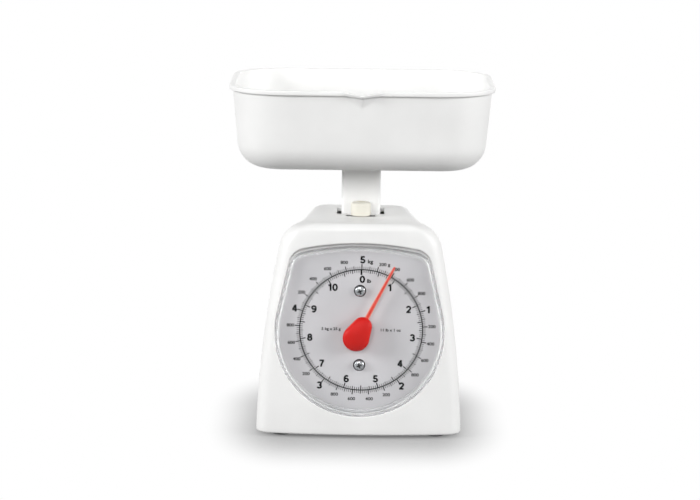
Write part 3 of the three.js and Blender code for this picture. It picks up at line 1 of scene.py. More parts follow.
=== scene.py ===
"""A white mechanical platform scale with a pan, a post, a zero knob and a round dial behind a clear cover.

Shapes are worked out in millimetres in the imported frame: +Z up, the dial faces -Y, the floor is z = 0.
"""

import json
import math

import bmesh
import bpy
import numpy as np
from mathutils import Matrix, Vector


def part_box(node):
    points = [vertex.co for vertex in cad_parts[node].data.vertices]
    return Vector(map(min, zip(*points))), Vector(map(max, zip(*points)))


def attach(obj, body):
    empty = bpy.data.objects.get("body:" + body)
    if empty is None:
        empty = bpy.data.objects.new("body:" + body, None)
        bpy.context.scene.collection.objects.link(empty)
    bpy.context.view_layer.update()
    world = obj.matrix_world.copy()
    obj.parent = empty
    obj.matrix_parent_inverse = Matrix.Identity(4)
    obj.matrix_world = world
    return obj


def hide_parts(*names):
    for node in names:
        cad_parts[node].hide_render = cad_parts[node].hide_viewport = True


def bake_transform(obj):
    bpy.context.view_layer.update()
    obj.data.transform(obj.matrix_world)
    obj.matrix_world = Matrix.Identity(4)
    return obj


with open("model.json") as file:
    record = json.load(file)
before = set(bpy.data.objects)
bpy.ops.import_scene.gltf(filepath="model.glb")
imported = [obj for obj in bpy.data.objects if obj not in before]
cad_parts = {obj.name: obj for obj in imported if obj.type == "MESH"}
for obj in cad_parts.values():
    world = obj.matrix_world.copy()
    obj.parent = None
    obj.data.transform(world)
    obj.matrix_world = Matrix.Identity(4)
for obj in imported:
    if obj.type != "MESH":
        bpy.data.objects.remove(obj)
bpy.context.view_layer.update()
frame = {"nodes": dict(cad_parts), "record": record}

MM = 0.001


def extent(node):
    """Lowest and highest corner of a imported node, in millimetres."""
    low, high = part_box(node)
    return np.array(low) / MM, np.array(high) / MM


# Places taken from the frame
housing_low, housing_high = extent("housing")
cover_low, cover_high = extent("dial_cover")
dial_low, dial_high = extent("dial_plate")
knob_low, knob_high = extent("zero_knob")
post_low, post_high = extent("post")
pan_low, pan_high = extent("pan")
spring_low, spring_high = extent("main_spring")
FOOT, DECK = housing_low[2], housing_high[2]
DIAL_FRONT, DIAL_BACK = dial_low[1], dial_high[1]
POST_Y = (post_low[1] + post_high[1]) / 2
KNOB_Y = (knob_low[1] + knob_high[1]) / 2

# Housing walls: distance from the middle at the base, lean to the deck, bow and edge radius
SIDE = (66.5, 14.3, 2.7, 20)
REAR_SIDE = (60.5, 29.5, 5, 5)
FRONT = (56, 4, 0, 5)
REAR = (53.9, 21, 4, 8)
WALL = 2.5
PLAN_CORNER = 9
PLAN_STEPS = (40, 40, 64)  # rear, side, front
OUTER_STEPS = (44, 30)  # wall, edge
INNER_STEPS = (16, 12)
FRONT_CROWN = 5
NARROWING_CURVE = 0.6
BASE_EDGE = 1.5
DECK_CAP = 0.97
OPENING_LIP = 0.9
APERTURE = (15.5, 12.5)  # half-width, half-depth
APERTURE_LIP = 0.7
KNOB_SLOT = (9.5, 3.5)
SLOT_LIP = 0.3
SLOT_CORNER = 1.2
SLOT_UNDERCUT = 2.4
SLOT_STEP = 0.05

# Clear cover
COVER_RADIUS = 54.5
COVER_TO_DECK = 12.9
COVER_LEAN = math.radians(12.9)
COVER_ARCH = 168
COVER_CORNER = 12
COVER_WALL = 2
COVER_EDGE = 3.5
COVER_LAND = 2
COVER_STEPS = (150, 16, 60, 16)  # bottom, corner, arch, side
FRONT_FACING = 0.99
SEAT_GAP = 0.3
DIAL_MARGIN = 1.5
DIAL_HOLE = 4.5
HOLE_REACH = 5
DIAL_HEIGHT = cover_low[2] + COVER_RADIUS
COVER_TOP = DECK - COVER_TO_DECK - DIAL_HEIGHT

# Dial print, about the dial axis
PRINT_X = 1.0
INK_PROUD = 0.05
INK_SUNK = 0.02
RING_RADIUS = 39.7
RING_LINE = 0.65
RING_POINTS = 360
FULL_SCALE_GRAMS = 5000
KILO_GRAMS = 1000
POUND_GRAMS = 453.592
GRAM_STEP = 25
GRAM_LABEL = 200
GRAM_ANGLE = 360 / FULL_SCALE_GRAMS
POUND_ANGLE = GRAM_ANGLE * POUND_GRAMS
OUNCES = 16
POUNDS = 11
KILO_RADIUS = 45.3
POUND_RADIUS = 33.5
GRAM_RADIUS = 45.8
NUMERAL_HEIGHT = 4.7
GRAM_HEIGHT = 2.15
NOTE_HEIGHT = 1.85
UNIT_HEIGHT = 2.55
FIGURE_WIDTH = 0.68
FIGURE_STROKE = 0.235
FIGURE_STRETCH = 1.06
FIGURE_GAP = 0.1
LETTER_HEIGHT = 0.69
LETTER_STRETCH = 1.12
LETTER_STEPS = 6
HALF_DEPTH = 0.5
BOW_STEP = 9
BOW_LEAST = 9
BOLD = 0.036
PLAIN = 0.026
# Painted shade: a dark ink ring on the dial about each screw head stands in for its shadow and dark
# reflection
SCREW_SHADE_RING = (3.65, 0.62)  # radius, width
SCREW_SHADE_RING_POINTS = 72
WELD = 1e-7

# Ticks: step, length and width of each kind, the longer kinds last
GRAM_TICKS = ((GRAM_STEP, 2.0, 0.33), (100, 2.4, 0.5), (GRAM_LABEL, 3.2, 0.66), (KILO_GRAMS, 3.6, 0.7))
OUNCE_TICKS = ((1, 1.9, 0.38), (4, 2.3, 0.5), (8, 3.0, 0.64), (OUNCES, 3.4, 0.7))

# Labels that stand apart from their circle: text and place about the middle of the print
TOP_KILO = ("5", 0.5, 46.2)
TOP_POUND = ("0", 0.4, 33.4)
FIRST_GRAMS = ("200 g", 14.6, 42.9)
UNITS = (("kg", 5.5, 44.7), ("lb", 4.7, 32.3))
NOTES = (("5 kg x 25 g", -19.4, 0.4), ("11 lb x 1 oz", 19.2, 0.2))

# Pointer
READING = math.radians(27.5)
POINTER_GAP = 4
POINTER_BACK = DIAL_FRONT - POINTER_GAP
HUB_REAR = (8.6, 4.8)  # radius, distance from the axis
HUB_NOSE = (6.2, 3.8)
HUB_FOOT = (0.97, 0.3)  # share of the outline, height
HUB_SKIRT = 1.5
HUB_DOME = 4.5
HUB_DOME_END = math.radians(87)
HUB_RINGS = 22
SHAFT_BORE = 1.3
SHAFT_DEPTH = 3.45
BORE_MARGIN = 2
NEEDLE_START = 4.5
NEEDLE_LENGTH = 48
NEEDLE_ROOT = 1.7
NEEDLE_TIP = 0.8
NEEDLE_BLADE = 0.8
NEEDLE_HALF = ((0.22, 1.6), (0.36, 1), (0.86, 1), (1, 0.6), (1, 0))  # shares of the half-width and the blade
TIP_START = 0.96
TIP_TURN = 0.2
TIP_LEAST = 0.03
TIP_RINGS = 8
BLADE_RINGS = 25

# Dial screws: millimetres, then angles and shares of the head
SHANK = 1.5
SHANK_TIP = 1.4
SHANK_SHORT = 0.4
SHANK_POINT = 0.8
HEAD_SINK = 0.02
HEAD_CHAMFER = 0.15
RECESS_MARGIN = 0.3
CROWN_ANGLES = np.radians((10, 84))
CROWN_RINGS = 12
CROWN_CURVE = 0.8
HEAD_WALL = 0.42
RECESS_TURN = 0.35
RECESS_MOUTH = (0.56, 0.15)  # half-length and half-width of an arm
RECESS_FLOOR = (0.3, 0.09)
RECESS_DEPTH = 0.3
RECESS_REACH = 0.6
RECESS_STEEP = 0.8
FLOOR_REACH = 0.4
FLOOR_LEVEL = 0.45

# Knob, post and feet
KNOB_BORE = 2.1
KNOB_BORE_DEPTH = 0.66
KNOB_CHAMFER = 0.4
KNOB_EDGE = 1.6
KNOB_SIDES = 96
DISH = 3
DISH_SINK = 1.3
DISH_ROUND = 0.5
DISH_LAND = 0.2
DISH_LIP = 0.4
DISH_CURVE = 0.5
DISH_END = math.radians(80)
DISH_RINGS = 8
POST_CORNER = 2.2
POST_LEAST_CORNER = 0.6
POST_WALL = 2
POST_CHAMFER = 0.3
POST_ROUND = 0.8
FOOT_SOLE = ((1.6, 0.35), (1.3, 0), (0.5, 0), (0.15, 0.15), (0, 0.5))  # inset from the rim, height
FOOT_CHAMFER = 0.2
PLUG = 2.5
PLUG_POINT = 0.5
FEET = 4

# Pan
PAN_BOTTOM = pan_low[2]
PAN_HEIGHT = pan_high[2] - pan_low[2]
PAN_HALF_WIDTH = pan_high[0]
PAN_HALF_DEPTH = pan_high[1] - POST_Y
PAN_WALL = 2.2
PAN_LIP = 2
PAN_LIP_HEIGHT = 3
PAN_LIP_ROUND = 0.8
PAN_COVE = 1.3
PAN_DRAFT = math.radians(5.4)
PAN_BOTTOM_RADIUS = 17
PAN_CORNER = 36
PAN_STEPS = (24, 20, 97, 24)  # rear, side, front, corner
PAN_FLOOR_STEP = 6
PAN_ARC_RINGS = 17
PAN_WALL_RINGS = 9
SPOUT_PROUD = 3.7
SPOUT_HALF_WIDTH = 15
SPOUT_DROP = 11
SPOUT_DIP = 2.4
SPOUT_CURVE = 1.15
SPOUT_LEAST = 0.05
SOCKET = (15, 12.3)
SOCKET_CORNER = 4
SOCKET_WALL = 2
SOCKET_ROUND = 1
SOCKET_MARGIN = 1
SOCKET_DEPTH = 5
SOCKET_HEIGHT = 7

# Spring
SPRING_FOOT_TOP = 54.5
HANGER_BOTTOM = 100.7
WIRE_RADIUS = 0.8
SPRING_RADIUS = 6
SPRING_COILS = 12
SPRING_PITCH = 2.1
SPRING_RUN_IN = 0.75
SPRING_OPENING = 0.8
SPRING_CLIMB = 1.5
SPRING_STEPS = 900
SPRING_SIDES = 10


# Mesh building
def band(low, high, count):
    """Faces between two rings of points, given by the number of each ring's first point."""
    return [(low + i, low + (i + 1) % count, high + (i + 1) % count, high + i) for i in range(count)]


def loft(rings):
    """A closed skin through rings of equal length, with a flat cap at each end."""
    count = len(rings[0])
    top = (len(rings) - 1) * count
    faces = [face for low in range(0, top, count) for face in band(low, low + count, count)]
    faces += [tuple(range(count)), tuple(range(top, top + count))]
    return np.concatenate(rings), faces


def hoop(loops):
    """A closed ring of loops of equal length, each joined to the next and the last to the first."""
    count = len(loops[0])
    total = len(loops) * count
    faces = [face for low in range(0, total, count) for face in band(low, (low + count) % total, count)]
    return np.concatenate(loops), faces


def circle(steps):
    """Points around a circle of radius 1."""
    angles = np.linspace(0, 2 * math.pi, steps, endpoint=False)
    return np.stack([np.cos(angles), np.sin(angles)], axis=1)


def turned(profile, steps=72):
    """A solid turned about Z from (radius, height) pairs."""
    return loft([upright(circle(steps) * radius, height) for radius, height in profile])


def moved(shape, matrix):
    points, faces = shape
    turn = np.array(matrix.to_3x3())
    return points @ turn.T + np.array(matrix.translation), faces


def add_object(name, data):
    made = bpy.data.objects.new(name, data)
    bpy.context.scene.collection.objects.link(made)
    return made


def make_object(name, *shapes):
    points, faces, start = [], [], 0
    for shape_points, shape_faces in shapes:
        points.extend(map(tuple, np.asarray(shape_points) * MM))
        faces.extend(tuple(start + i for i in face) for face in shape_faces)
        start += len(shape_points)
    mesh = bpy.data.meshes.new(name)
    mesh.from_pydata(points, [], faces)
    skin = bmesh.new()
    skin.from_mesh(mesh)
    bmesh.ops.recalc_face_normals(skin, faces=skin.faces)
    skin.to_mesh(mesh)
    skin.free()
    return add_object(name, mesh)


def final_mesh(made):
    """The mesh of a text, or of an object with its modifiers applied."""
    bpy.context.view_layer.update()
    graph = bpy.context.evaluated_depsgraph_get()
    return bpy.data.meshes.new_from_object(made.evaluated_get(graph))


def combine(target, operation, *shapes):
    """Cuts shapes from an object, or joins them to it."""
    for shape in shapes:
        tool = make_object("tool", shape)
        step = target.modifiers.new("step", "BOOLEAN")
        step.operation = operation
        step.solver = "EXACT"
        step.object = tool
        made = final_mesh(target)
        target.modifiers.clear()
        old, used = target.data, tool.data
        name = old.name
        target.data = made
        bpy.data.objects.remove(tool)
        for mesh in (old, used):
            bpy.data.meshes.remove(mesh)
        made.name = name


def settle(made, body, slot, nodes=(), sharp=32):
    """Smooth shading, the slot's finish and the place of a piece in the assembly."""
    made.data.shade_smooth()
    made.data.set_sharp_from_angle(angle=math.radians(sharp))
    made.data.materials.clear()
    made.data.materials.append(FINISHES[slot])
    if nodes:
        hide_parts(*nodes)
    if body:
        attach(made, body)
    return made


def rounded_rectangle(half, front, rear, corner, rear_steps=1, side_steps=1, front_steps=1, arc_steps=12):
    centres = [(half - corner, rear - corner), (corner - half, rear - corner)]
    centres += [(corner - half, corner - front), (half - corner, corner - front)]
    runs = (rear_steps, side_steps, front_steps, side_steps)
    arcs = []
    for quarter, (x, y) in enumerate(centres):
        angles = np.linspace(quarter, quarter + 1, arc_steps + 1) * math.pi / 2
        arcs.append(np.stack([x + corner * np.cos(angles), y + corner * np.sin(angles)], axis=1))
    points = []
    for quarter, arc in enumerate(arcs):
        points.extend(arc)
        following = arcs[(quarter + 1) % 4][0]
        for step in range(1, runs[quarter]):
            points.append(arc[-1] + (following - arc[-1]) * step / runs[quarter])
    return np.array(points)


def block_ring(half_x, half_y, corner, y, z):
    """A rounded rectangle about a place on the Y axis."""
    return upright(rounded_rectangle(half_x, half_y, half_y, corner) + (0, y), z)


def quarter_turn(points):
    """Angles from 0 to a right angle."""
    return np.linspace(0, math.pi / 2, points)


def rounding(radius, points):
    """How far in and how far down a rounded edge lies, from the wall up to the top."""
    angles = quarter_turn(points)
    return list(zip(radius * (1 - np.cos(angles)), radius * (1 - np.sin(angles))))


def upright(outline, z):
    return np.column_stack([outline, np.full(len(outline), z)])


# Finishes
SHEEN_FINER = 6
CLEAR_IOR = 1.47
CLEAR_TINT = ((248, 250, 250), (253, 254, 254))
CLEAR_TINT_SCALE = 30
WIPE_SCALE = 180
WIPE_STRETCH = (1, 1, 0.15)
# Pointer blade: red rib, and a pale edge that is a painted glow of light through the thin plastic
BLADE_RIB = (224, 48, 32)
BLADE_EDGE_PAINTED_GLOW = (248, 160, 140)
BLADE_RAMP = (0.42, 1.0)
BLADE_ROUGH = (0.28, 0.4)
BLADE_ROUGH_SCALE = 500
BLADE_GRAIN = (1800, 0.08, 0.0002)
MOTTLE = 0.25
MOTTLE_SCALE = 400


def srgb(red, green, blue):
    def linear(value):
        value /= 255
        return value / 12.92 if value <= 0.04045 else ((value + 0.055) / 1.055) ** 2.4

    return (linear(red), linear(green), linear(blue), 1)


def start_finish(name):
    material = bpy.data.materials.new(name)
    material.use_nodes = True
    tree = material.node_tree
    return material, tree, tree.nodes["Principled BSDF"]


def noise(tree, scale, detail=3.0, stretch=(1, 1, 1)):
    place = tree.nodes.new("ShaderNodeTexCoord")
    mapping = tree.nodes.new("ShaderNodeMapping")
    mapping.inputs["Scale"].default_value = stretch
    texture = tree.nodes.new("ShaderNodeTexNoise")
    texture.inputs["Scale"].default_value = scale
    texture.inputs["Detail"].default_value = detail
    tree.links.new(place.outputs["Object"], mapping.inputs["Vector"])
    tree.links.new(mapping.outputs["Vector"], texture.inputs["Vector"])
    return texture.outputs["Fac"]


def blend_colours(tree, share, low, high, begin=0.35, end=0.65):
    ramp = tree.nodes.new("ShaderNodeValToRGB")
    for stop, place, colour in zip(ramp.color_ramp.elements, (begin, end), (low, high)):
        stop.position = place
        stop.color = colour
    tree.links.new(share, ramp.inputs["Fac"])
    return ramp.outputs["Color"]


def spread(tree, share, low, high, begin=0.3, end=0.7, course="LINEAR"):
    """Runs from low to high while the share goes from begin to end."""
    scaled = tree.nodes.new("ShaderNodeMapRange")
    scaled.interpolation_type = course
    for name, value in (("From Min", begin), ("From Max", end), ("To Min", low), ("To Max", high)):
        scaled.inputs[name].default_value = value
    tree.links.new(share, scaled.inputs["Value"])
    return scaled.outputs["Result"]


def maths(tree, operation, *values):
    """A maths node; each value is a socket or a number."""
    made = tree.nodes.new("ShaderNodeMath")
    made.operation = operation
    for socket, value in zip(made.inputs, values):
        if isinstance(value, bpy.types.NodeSocket):
            tree.links.new(value, socket)
        else:
            socket.default_value = value
    return made.outputs["Value"]


def add_grain(tree, shader, scale, strength, depth, stretch=(1, 1, 1)):
    grain = tree.nodes.new("ShaderNodeBump")
    grain.inputs["Strength"].default_value = strength
    grain.inputs["Distance"].default_value = depth
    tree.links.new(noise(tree, scale, 2.0, stretch), grain.inputs["Height"])
    tree.links.new(grain.outputs["Normal"], shader.inputs["Normal"])


def surface(name, low, high, rough, tone_scale, grain, gloss=0.5, metallic=0, stretch=(1, 1, 1)):
    """A finish with a drift of tone, an uneven sheen and a fine grain."""
    material, tree, shader = start_finish(name)
    shader.inputs["Metallic"].default_value = metallic
    shader.inputs["Specular IOR Level"].default_value = gloss
    tone = noise(tree, tone_scale, 4.0, stretch)
    tree.links.new(blend_colours(tree, tone, srgb(*low), srgb(*high)), shader.inputs["Base Color"])
    sheen = noise(tree, tone_scale * SHEEN_FINER, 3.0, stretch)
    tree.links.new(spread(tree, sheen, *rough), shader.inputs["Roughness"])
    add_grain(tree, shader, *grain, stretch)
    return material


def clear_finish(name, mirror, rough, clarity):
    """Clear plastic with faint wipe marks, which lets the lamps through to the dial."""
    material, tree, shader = start_finish(name)
    shader.inputs["Transmission Weight"].default_value = clarity
    shader.inputs["IOR"].default_value = CLEAR_IOR
    shader.inputs["Specular Tint"].default_value = (mirror, mirror, mirror, 1)
    low, high = CLEAR_TINT
    tint = blend_colours(tree, noise(tree, CLEAR_TINT_SCALE), srgb(*low), srgb(*high))
    tree.links.new(tint, shader.inputs["Base Color"])
    marks = noise(tree, WIPE_SCALE, stretch=WIPE_STRETCH)
    tree.links.new(spread(tree, marks, *rough), shader.inputs["Roughness"])
    path = tree.nodes.new("ShaderNodeLightPath")
    through = tree.nodes.new("ShaderNodeBsdfTransparent")
    shown = shader.outputs["BSDF"]
    for kind in ("Is Shadow Ray", "Is Diffuse Ray"):
        mix = tree.nodes.new("ShaderNodeMixShader")
        tree.links.new(path.outputs[kind], mix.inputs["Fac"])
        tree.links.new(shown, mix.inputs[1])
        tree.links.new(through.outputs["BSDF"], mix.inputs[2])
        shown = mix.outputs["Shader"]
    tree.links.new(shown, tree.nodes["Material Output"].inputs["Surface"])
    return material


# Gloss, metal and the stretch of the marks
METAL = (0.5, 1)
DRAWN = (*METAL, (1, 1, 3))
TURNED = (*METAL, (1, 5, 1))

# Darkest and lightest colour, range of roughness, scale of the tone's drift, the grain's scale, strength
# and depth, and gloss, metal and stretch where they aren't the usual ones
LOOKS = {
    "white_plastic": ((236, 236, 235), (241, 241, 240), (0.36, 0.46), 28, (1400, 0.12, 0.0002)),
    "cream_plastic": ((222, 219, 207), (229, 226, 215), (0.34, 0.44), 60, (1600, 0.12, 0.0002)),
    "red_plastic": ((208, 16, 9), (216, 21, 12), (0.36, 0.48), 90, (1800, 0.1, 0.0002), 0.1),
    "dial_print": ((209, 207, 210), (215, 213, 216), (0.5, 0.62), 40, (2200, 0.08, 0.0001), 0.1),
    "black_rubber": ((28, 28, 30), (40, 40, 42), (0.75, 0.9), 120, (2600, 0.35, 0.0003)),
    "bright_steel": ((208, 209, 211), (220, 221, 223), (0.16, 0.24), 90, (900, 0.05, 0.0001), *DRAWN),
    "plated_steel": ((162, 166, 169), (184, 187, 189), (0.34, 0.5), 110, (1200, 0.15, 0.0002), *TURNED),
    "brass": ((178, 146, 70), (198, 166, 88), (0.28, 0.42), 140, (1100, 0.12, 0.0002), *TURNED),
    "screw_head": ((150, 151, 154), (168, 169, 172), (0.14, 0.22), 200, (1500, 0.05, 0.0001), *METAL),
    # Painted shade: dark steel for the screws' cross recesses, where shade falls
    "screw_recess_shade": ((44, 44, 46), (62, 62, 64), (0.4, 0.55), 300, (1500, 0.1, 0.0001), *METAL),
    "dial_ink": ((14, 14, 16), (26, 26, 28), (0.5, 0.65), 220, (3000, 0.1, 0.0001), 0.05),
}
FINISHES = {name: surface(name, *look) for name, look in LOOKS.items()}
FINISHES["clear_cover"] = clear_finish("clear_cover", mirror=0.22, rough=(0.01, 0.035), clarity=1)
FINISHES["clear_edge"] = clear_finish("clear_edge", mirror=0.22, rough=(0.03, 0.045), clarity=0.9)


def blade_finish():
    """Red plastic, paler towards the edge by a painted glow of light through the thin plastic: the mesh's
    own blade attribute runs from rib to edge.
    """
    material, tree, shader = start_finish("pointer_blade")
    across = tree.nodes.new("ShaderNodeAttribute")
    across.attribute_name = "blade"
    share = maths(tree, "MULTIPLY_ADD", noise(tree, MOTTLE_SCALE), MOTTLE, across.outputs["Fac"])
    colour = blend_colours(tree, share, srgb(*BLADE_RIB), srgb(*BLADE_EDGE_PAINTED_GLOW), *BLADE_RAMP)
    tree.links.new(colour, shader.inputs["Base Color"])
    rough = spread(tree, noise(tree, BLADE_ROUGH_SCALE), *BLADE_ROUGH)
    tree.links.new(rough, shader.inputs["Roughness"])
    add_grain(tree, shader, *BLADE_GRAIN)
    return material


# Housing
def edge_slope(wall):
    """Lean at which a wall runs into its rounded edge."""
    lean, bow, radius = wall[1:]
    return math.atan2(lean + 4 * bow, DECK - radius - FOOT)


def wall_at(z, wall, inset=0.0):
    """A wall's distance from the middle at a height: a bowed lean, then a round edge to the deck."""
    base, lean, bow, radius = wall
    slope = edge_slope(wall)
    arc_start = DECK - radius * (1 - math.sin(slope))
    if z <= arc_start:
        share = (z - FOOT) / (arc_start - FOOT)
        return base - lean * share + 4 * bow * share * (1 - share) - inset
    reach = radius - inset
    up = z - DECK + radius
    return base - lean - radius * math.cos(slope) + math.sqrt(max(0.0, reach * reach - up * up))


def housing_ring(z, inset=0.0, trim=0.0):
    gone = inset + trim
    half, front, rear = (wall_at(z, wall, gone) for wall in (SIDE, FRONT, REAR))
    narrow = wall_at(z, REAR_SIDE, gone) / half
    plan = rounded_rectangle(half, front, rear, PLAN_CORNER - inset, *PLAN_STEPS)
    x, y = plan[:, 0], plan[:, 1]
    back = (y + front) / (front + rear)
    share = np.clip((y - DIAL_BACK) / (rear - DIAL_BACK), 0, 1) ** NARROWING_CURVE
    bent_x = x * (1 + (narrow - 1) * share)
    bent_y = y + FRONT_CROWN * (x / half) ** 2 * (1 - back)
    return np.column_stack([bent_x, bent_y, np.full(len(x), z)])


def shoulder_levels(inset, wall_steps, arc_steps, start):
    radius = SIDE[-1]
    angles = np.linspace(edge_slope(SIDE), math.pi / 2, arc_steps + 1)
    arc = DECK - radius + (radius - inset) * np.sin(angles)
    return list(np.linspace(start, arc[0], wall_steps + 1)[:-1]) + list(arc)


def front_face(x, z):
    return -wall_at(z, FRONT) + FRONT_CROWN * (x / wall_at(z, SIDE)) ** 2


def cover_outline(offset=0.0):
    """The cover's edge about the dial axis: round bottom, leaning sides, soft corners and a flat arch."""
    bottom_steps, corner_steps, arch_steps, side_steps = COVER_STEPS
    arch_z = COVER_TOP - COVER_ARCH
    side = np.array([-math.sin(COVER_LEAN), math.cos(COVER_LEAN)])
    start = np.array([math.cos(COVER_LEAN), math.sin(COVER_LEAN)]) * (COVER_RADIUS - COVER_CORNER)
    to_arch = start - np.array([0, arch_z])
    along = to_arch @ side
    room = (COVER_ARCH - COVER_CORNER) ** 2 - to_arch @ to_arch + along**2
    corner = start + side * (math.sqrt(room) - along)
    turn = math.atan2(corner[1] - arch_z, corner[0])

    def arc(x, z, radius, begin, end, steps):
        angles = np.linspace(begin, end, steps + 1)
        reach = radius + offset
        return np.stack([x + reach * np.cos(angles), z + reach * np.sin(angles)], axis=1)

    def side_run(a, b):
        return [a + (b - a) * step / side_steps for step in range(1, side_steps)]

    low_begin, low_end = math.pi - COVER_LEAN, 2 * math.pi + COVER_LEAN
    x, z = corner
    bottom = arc(0, 0, COVER_RADIUS, low_begin, low_end, bottom_steps)
    right = arc(x, z, COVER_CORNER, COVER_LEAN, turn, corner_steps)
    arch = arc(0, arch_z, COVER_ARCH, turn, math.pi - turn, arch_steps)
    left = arc(-x, z, COVER_CORNER, math.pi - turn, low_begin, corner_steps)
    points = [*bottom, *side_run(bottom[-1], right[0]), *right, *arch[1:-1], *left]
    return np.array(points + side_run(left[-1], bottom[0]))


def stood_up(outline, y):
    """An outline about the dial axis, stood up at a depth y."""
    return np.column_stack([outline[:, 0], np.full(len(outline), y), outline[:, 1] + DIAL_HEIGHT])


def cover_ring(offset, y):
    return stood_up(cover_outline(offset), y)


def opening_tool():
    """The cover's opening in the front wall, with a rounded lip that follows the crowned front."""

    def ring(offset, depth):
        outline = cover_outline(offset)
        return stood_up(outline, [front_face(x, z + DIAL_HEIGHT) + depth for x, z in outline])

    rings = [cover_ring(SEAT_GAP + OPENING_LIP, cover_low[1] - WALL)]
    rings += [ring(SEAT_GAP + grow, depth) for depth, grow in rounding(OPENING_LIP, points=7)]
    rings += [cover_ring(SEAT_GAP, DIAL_FRONT)]
    return loft(rings)


def deck_tool(half_x, half_y, y, lip, undercut=0.0):
    """A hole through the deck with a rounded upper lip, wider below the lip by an undercut."""

    def ring(grow, z):
        return block_ring(half_x + grow, half_y + grow, SLOT_CORNER + grow, y, z)

    rings = [ring(undercut, DECK - 2 * WALL)]
    if undercut:
        rings.append(ring(undercut, DECK - lip - SLOT_STEP))
    rings += [ring(grow, DECK - drop) for grow, drop in rounding(lip, points=6)]
    rings += [ring(lip, DECK + WALL)]
    return loft(rings)


def make_housing():
    """The shell: up the inside, round the foot, up the outside to the deck, then its openings."""
    inner = [housing_ring(z, WALL) for z in shoulder_levels(WALL, *INNER_STEPS, FOOT)]
    foot = [housing_ring(FOOT + rise, 0, trim) for rise, trim in rounding(BASE_EDGE, points=7)[:-1]]
    outer = [housing_ring(z) for z in shoulder_levels(0, *OUTER_STEPS, FOOT + BASE_EDGE)]
    middle = np.array([0, POST_Y, 0])
    deck = (outer[-1] - middle) * (DECK_CAP, DECK_CAP, 1) + middle
    shell = make_object("housing_shell", loft([*inner[::-1], *foot, *outer, deck]))
    combine(
        shell,
        "DIFFERENCE",
        opening_tool(),
        deck_tool(*APERTURE, POST_Y, APERTURE_LIP),
        deck_tool(*KNOB_SLOT, KNOB_Y, SLOT_LIP, SLOT_UNDERCUT),
    )
    settle(shell, "root", "white_plastic", ["housing"])


# Dial, cover and pointer
def facing(outline, front, back):
    """A flat plate with this outline about the dial axis."""
    return loft([stood_up(outline, front), stood_up(outline, back)])


def axis_y(x, y, z):
    """Turns a shape's own Z to -Y and moves it into place."""
    return Matrix.Translation((x, y, z)) @ Matrix.Rotation(math.pi / 2, 4, "X")


def make_cover():
    """A clear cap with a flat front, a rounded and slightly milky edge, and a wall back to the dial."""
    edge_back = cover_low[1] + COVER_EDGE
    inner = COVER_EDGE - COVER_WALL
    land = -COVER_EDGE - COVER_LAND

    def arc(radius, angle):
        return cover_ring(radius * math.cos(angle) - COVER_EDGE, edge_back - radius * math.sin(angle))

    angles = quarter_turn(points=11)
    rings = [cover_ring(land, edge_back - inner)]
    rings += [arc(inner, angle) for angle in angles[::-1]]
    rings += [cover_ring(-COVER_WALL, cover_high[1]), cover_ring(0, cover_high[1])]
    rings += [arc(COVER_EDGE, angle) for angle in angles]
    rings += [cover_ring(land, edge_back - COVER_EDGE)]
    cover = settle(make_object("dial_window", loft(rings)), "root", "clear_cover", ["dial_cover"])
    cover.data.materials.append(FINISHES["clear_edge"])
    for face in cover.data.polygons:
        face.material_index = int(abs(face.normal.y) < FRONT_FACING)


def make_dial():
    plate = make_object("dial_face", facing(cover_outline(DIAL_MARGIN), DIAL_FRONT, DIAL_BACK))
    hole = turned([(DIAL_HOLE, -HOLE_REACH), (DIAL_HOLE, HOLE_REACH)])
    combine(plate, "DIFFERENCE", moved(hole, axis_y(0, DIAL_FRONT, DIAL_HEIGHT)))
    settle(plate, "root", "dial_print", ["dial_plate"])


def on_print(angle, radius):
    """A point about the middle of the print: the angle runs clockwise from the top, in degrees."""
    turn = math.radians(angle)
    return np.array([radius * math.sin(turn), radius * math.cos(turn)])


def tick(angle, near, far, width):
    across = on_print(angle + 90, width / 2)
    low, high = on_print(angle, near), on_print(angle, far)
    outline = np.array([low - across, low + across, high + across, high - across]) + (PRINT_X, 0)
    return facing(outline, DIAL_FRONT - INK_PROUD, DIAL_FRONT + INK_SUNK)


def tick_size(value, kinds):
    """Length and width of the tick at a value: those of the last kind whose step divides it."""
    return [size for step, *size in kinds if value % step == 0][-1]


def ring_line(x, z, radius, width, steps):
    """An ink circle about a place on the dial: the printed scale ring, or a painted shade ring about a
    screw.
    """
    half = width / 2
    loops = []
    for grow, y in ((-half, -INK_PROUD), (half, -INK_PROUD), (half, INK_SUNK), (-half, INK_SUNK)):
        loops.append(stood_up(circle(steps) * (radius + grow) + (x, z), DIAL_FRONT + y))
    return hoop(loops)


def inked(made):
    made.data.materials.clear()
    made.data.materials.append(FINISHES["dial_ink"])
    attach(made, "root")


def make_scale_lines():
    shapes = [ring_line(PRINT_X, 0, RING_RADIUS, RING_LINE, RING_POINTS)]
    # Painted shade about each dial screw, drawn in ink with the scale lines
    for which in ("upper", "lower"):
        low, high = extent(f"{which}_dial_screw")
        up = (low[2] + high[2]) / 2 - DIAL_HEIGHT
        shapes.append(ring_line(0, up, *SCREW_SHADE_RING, SCREW_SHADE_RING_POINTS))
    within_line = RING_RADIUS - RING_LINE / 4
    for grams in range(0, FULL_SCALE_GRAMS, GRAM_STEP):
        length, width = tick_size(grams, GRAM_TICKS)
        shapes.append(tick(GRAM_ANGLE * grams, within_line, RING_RADIUS + length, width))
    for ounce in range(POUNDS * OUNCES + 1):
        length, width = tick_size(ounce, OUNCE_TICKS)
        shapes.append(tick(POUND_ANGLE * ounce / OUNCES, RING_RADIUS - length, RING_RADIUS, width))
    inked(make_object("dial_scale_lines", *shapes))


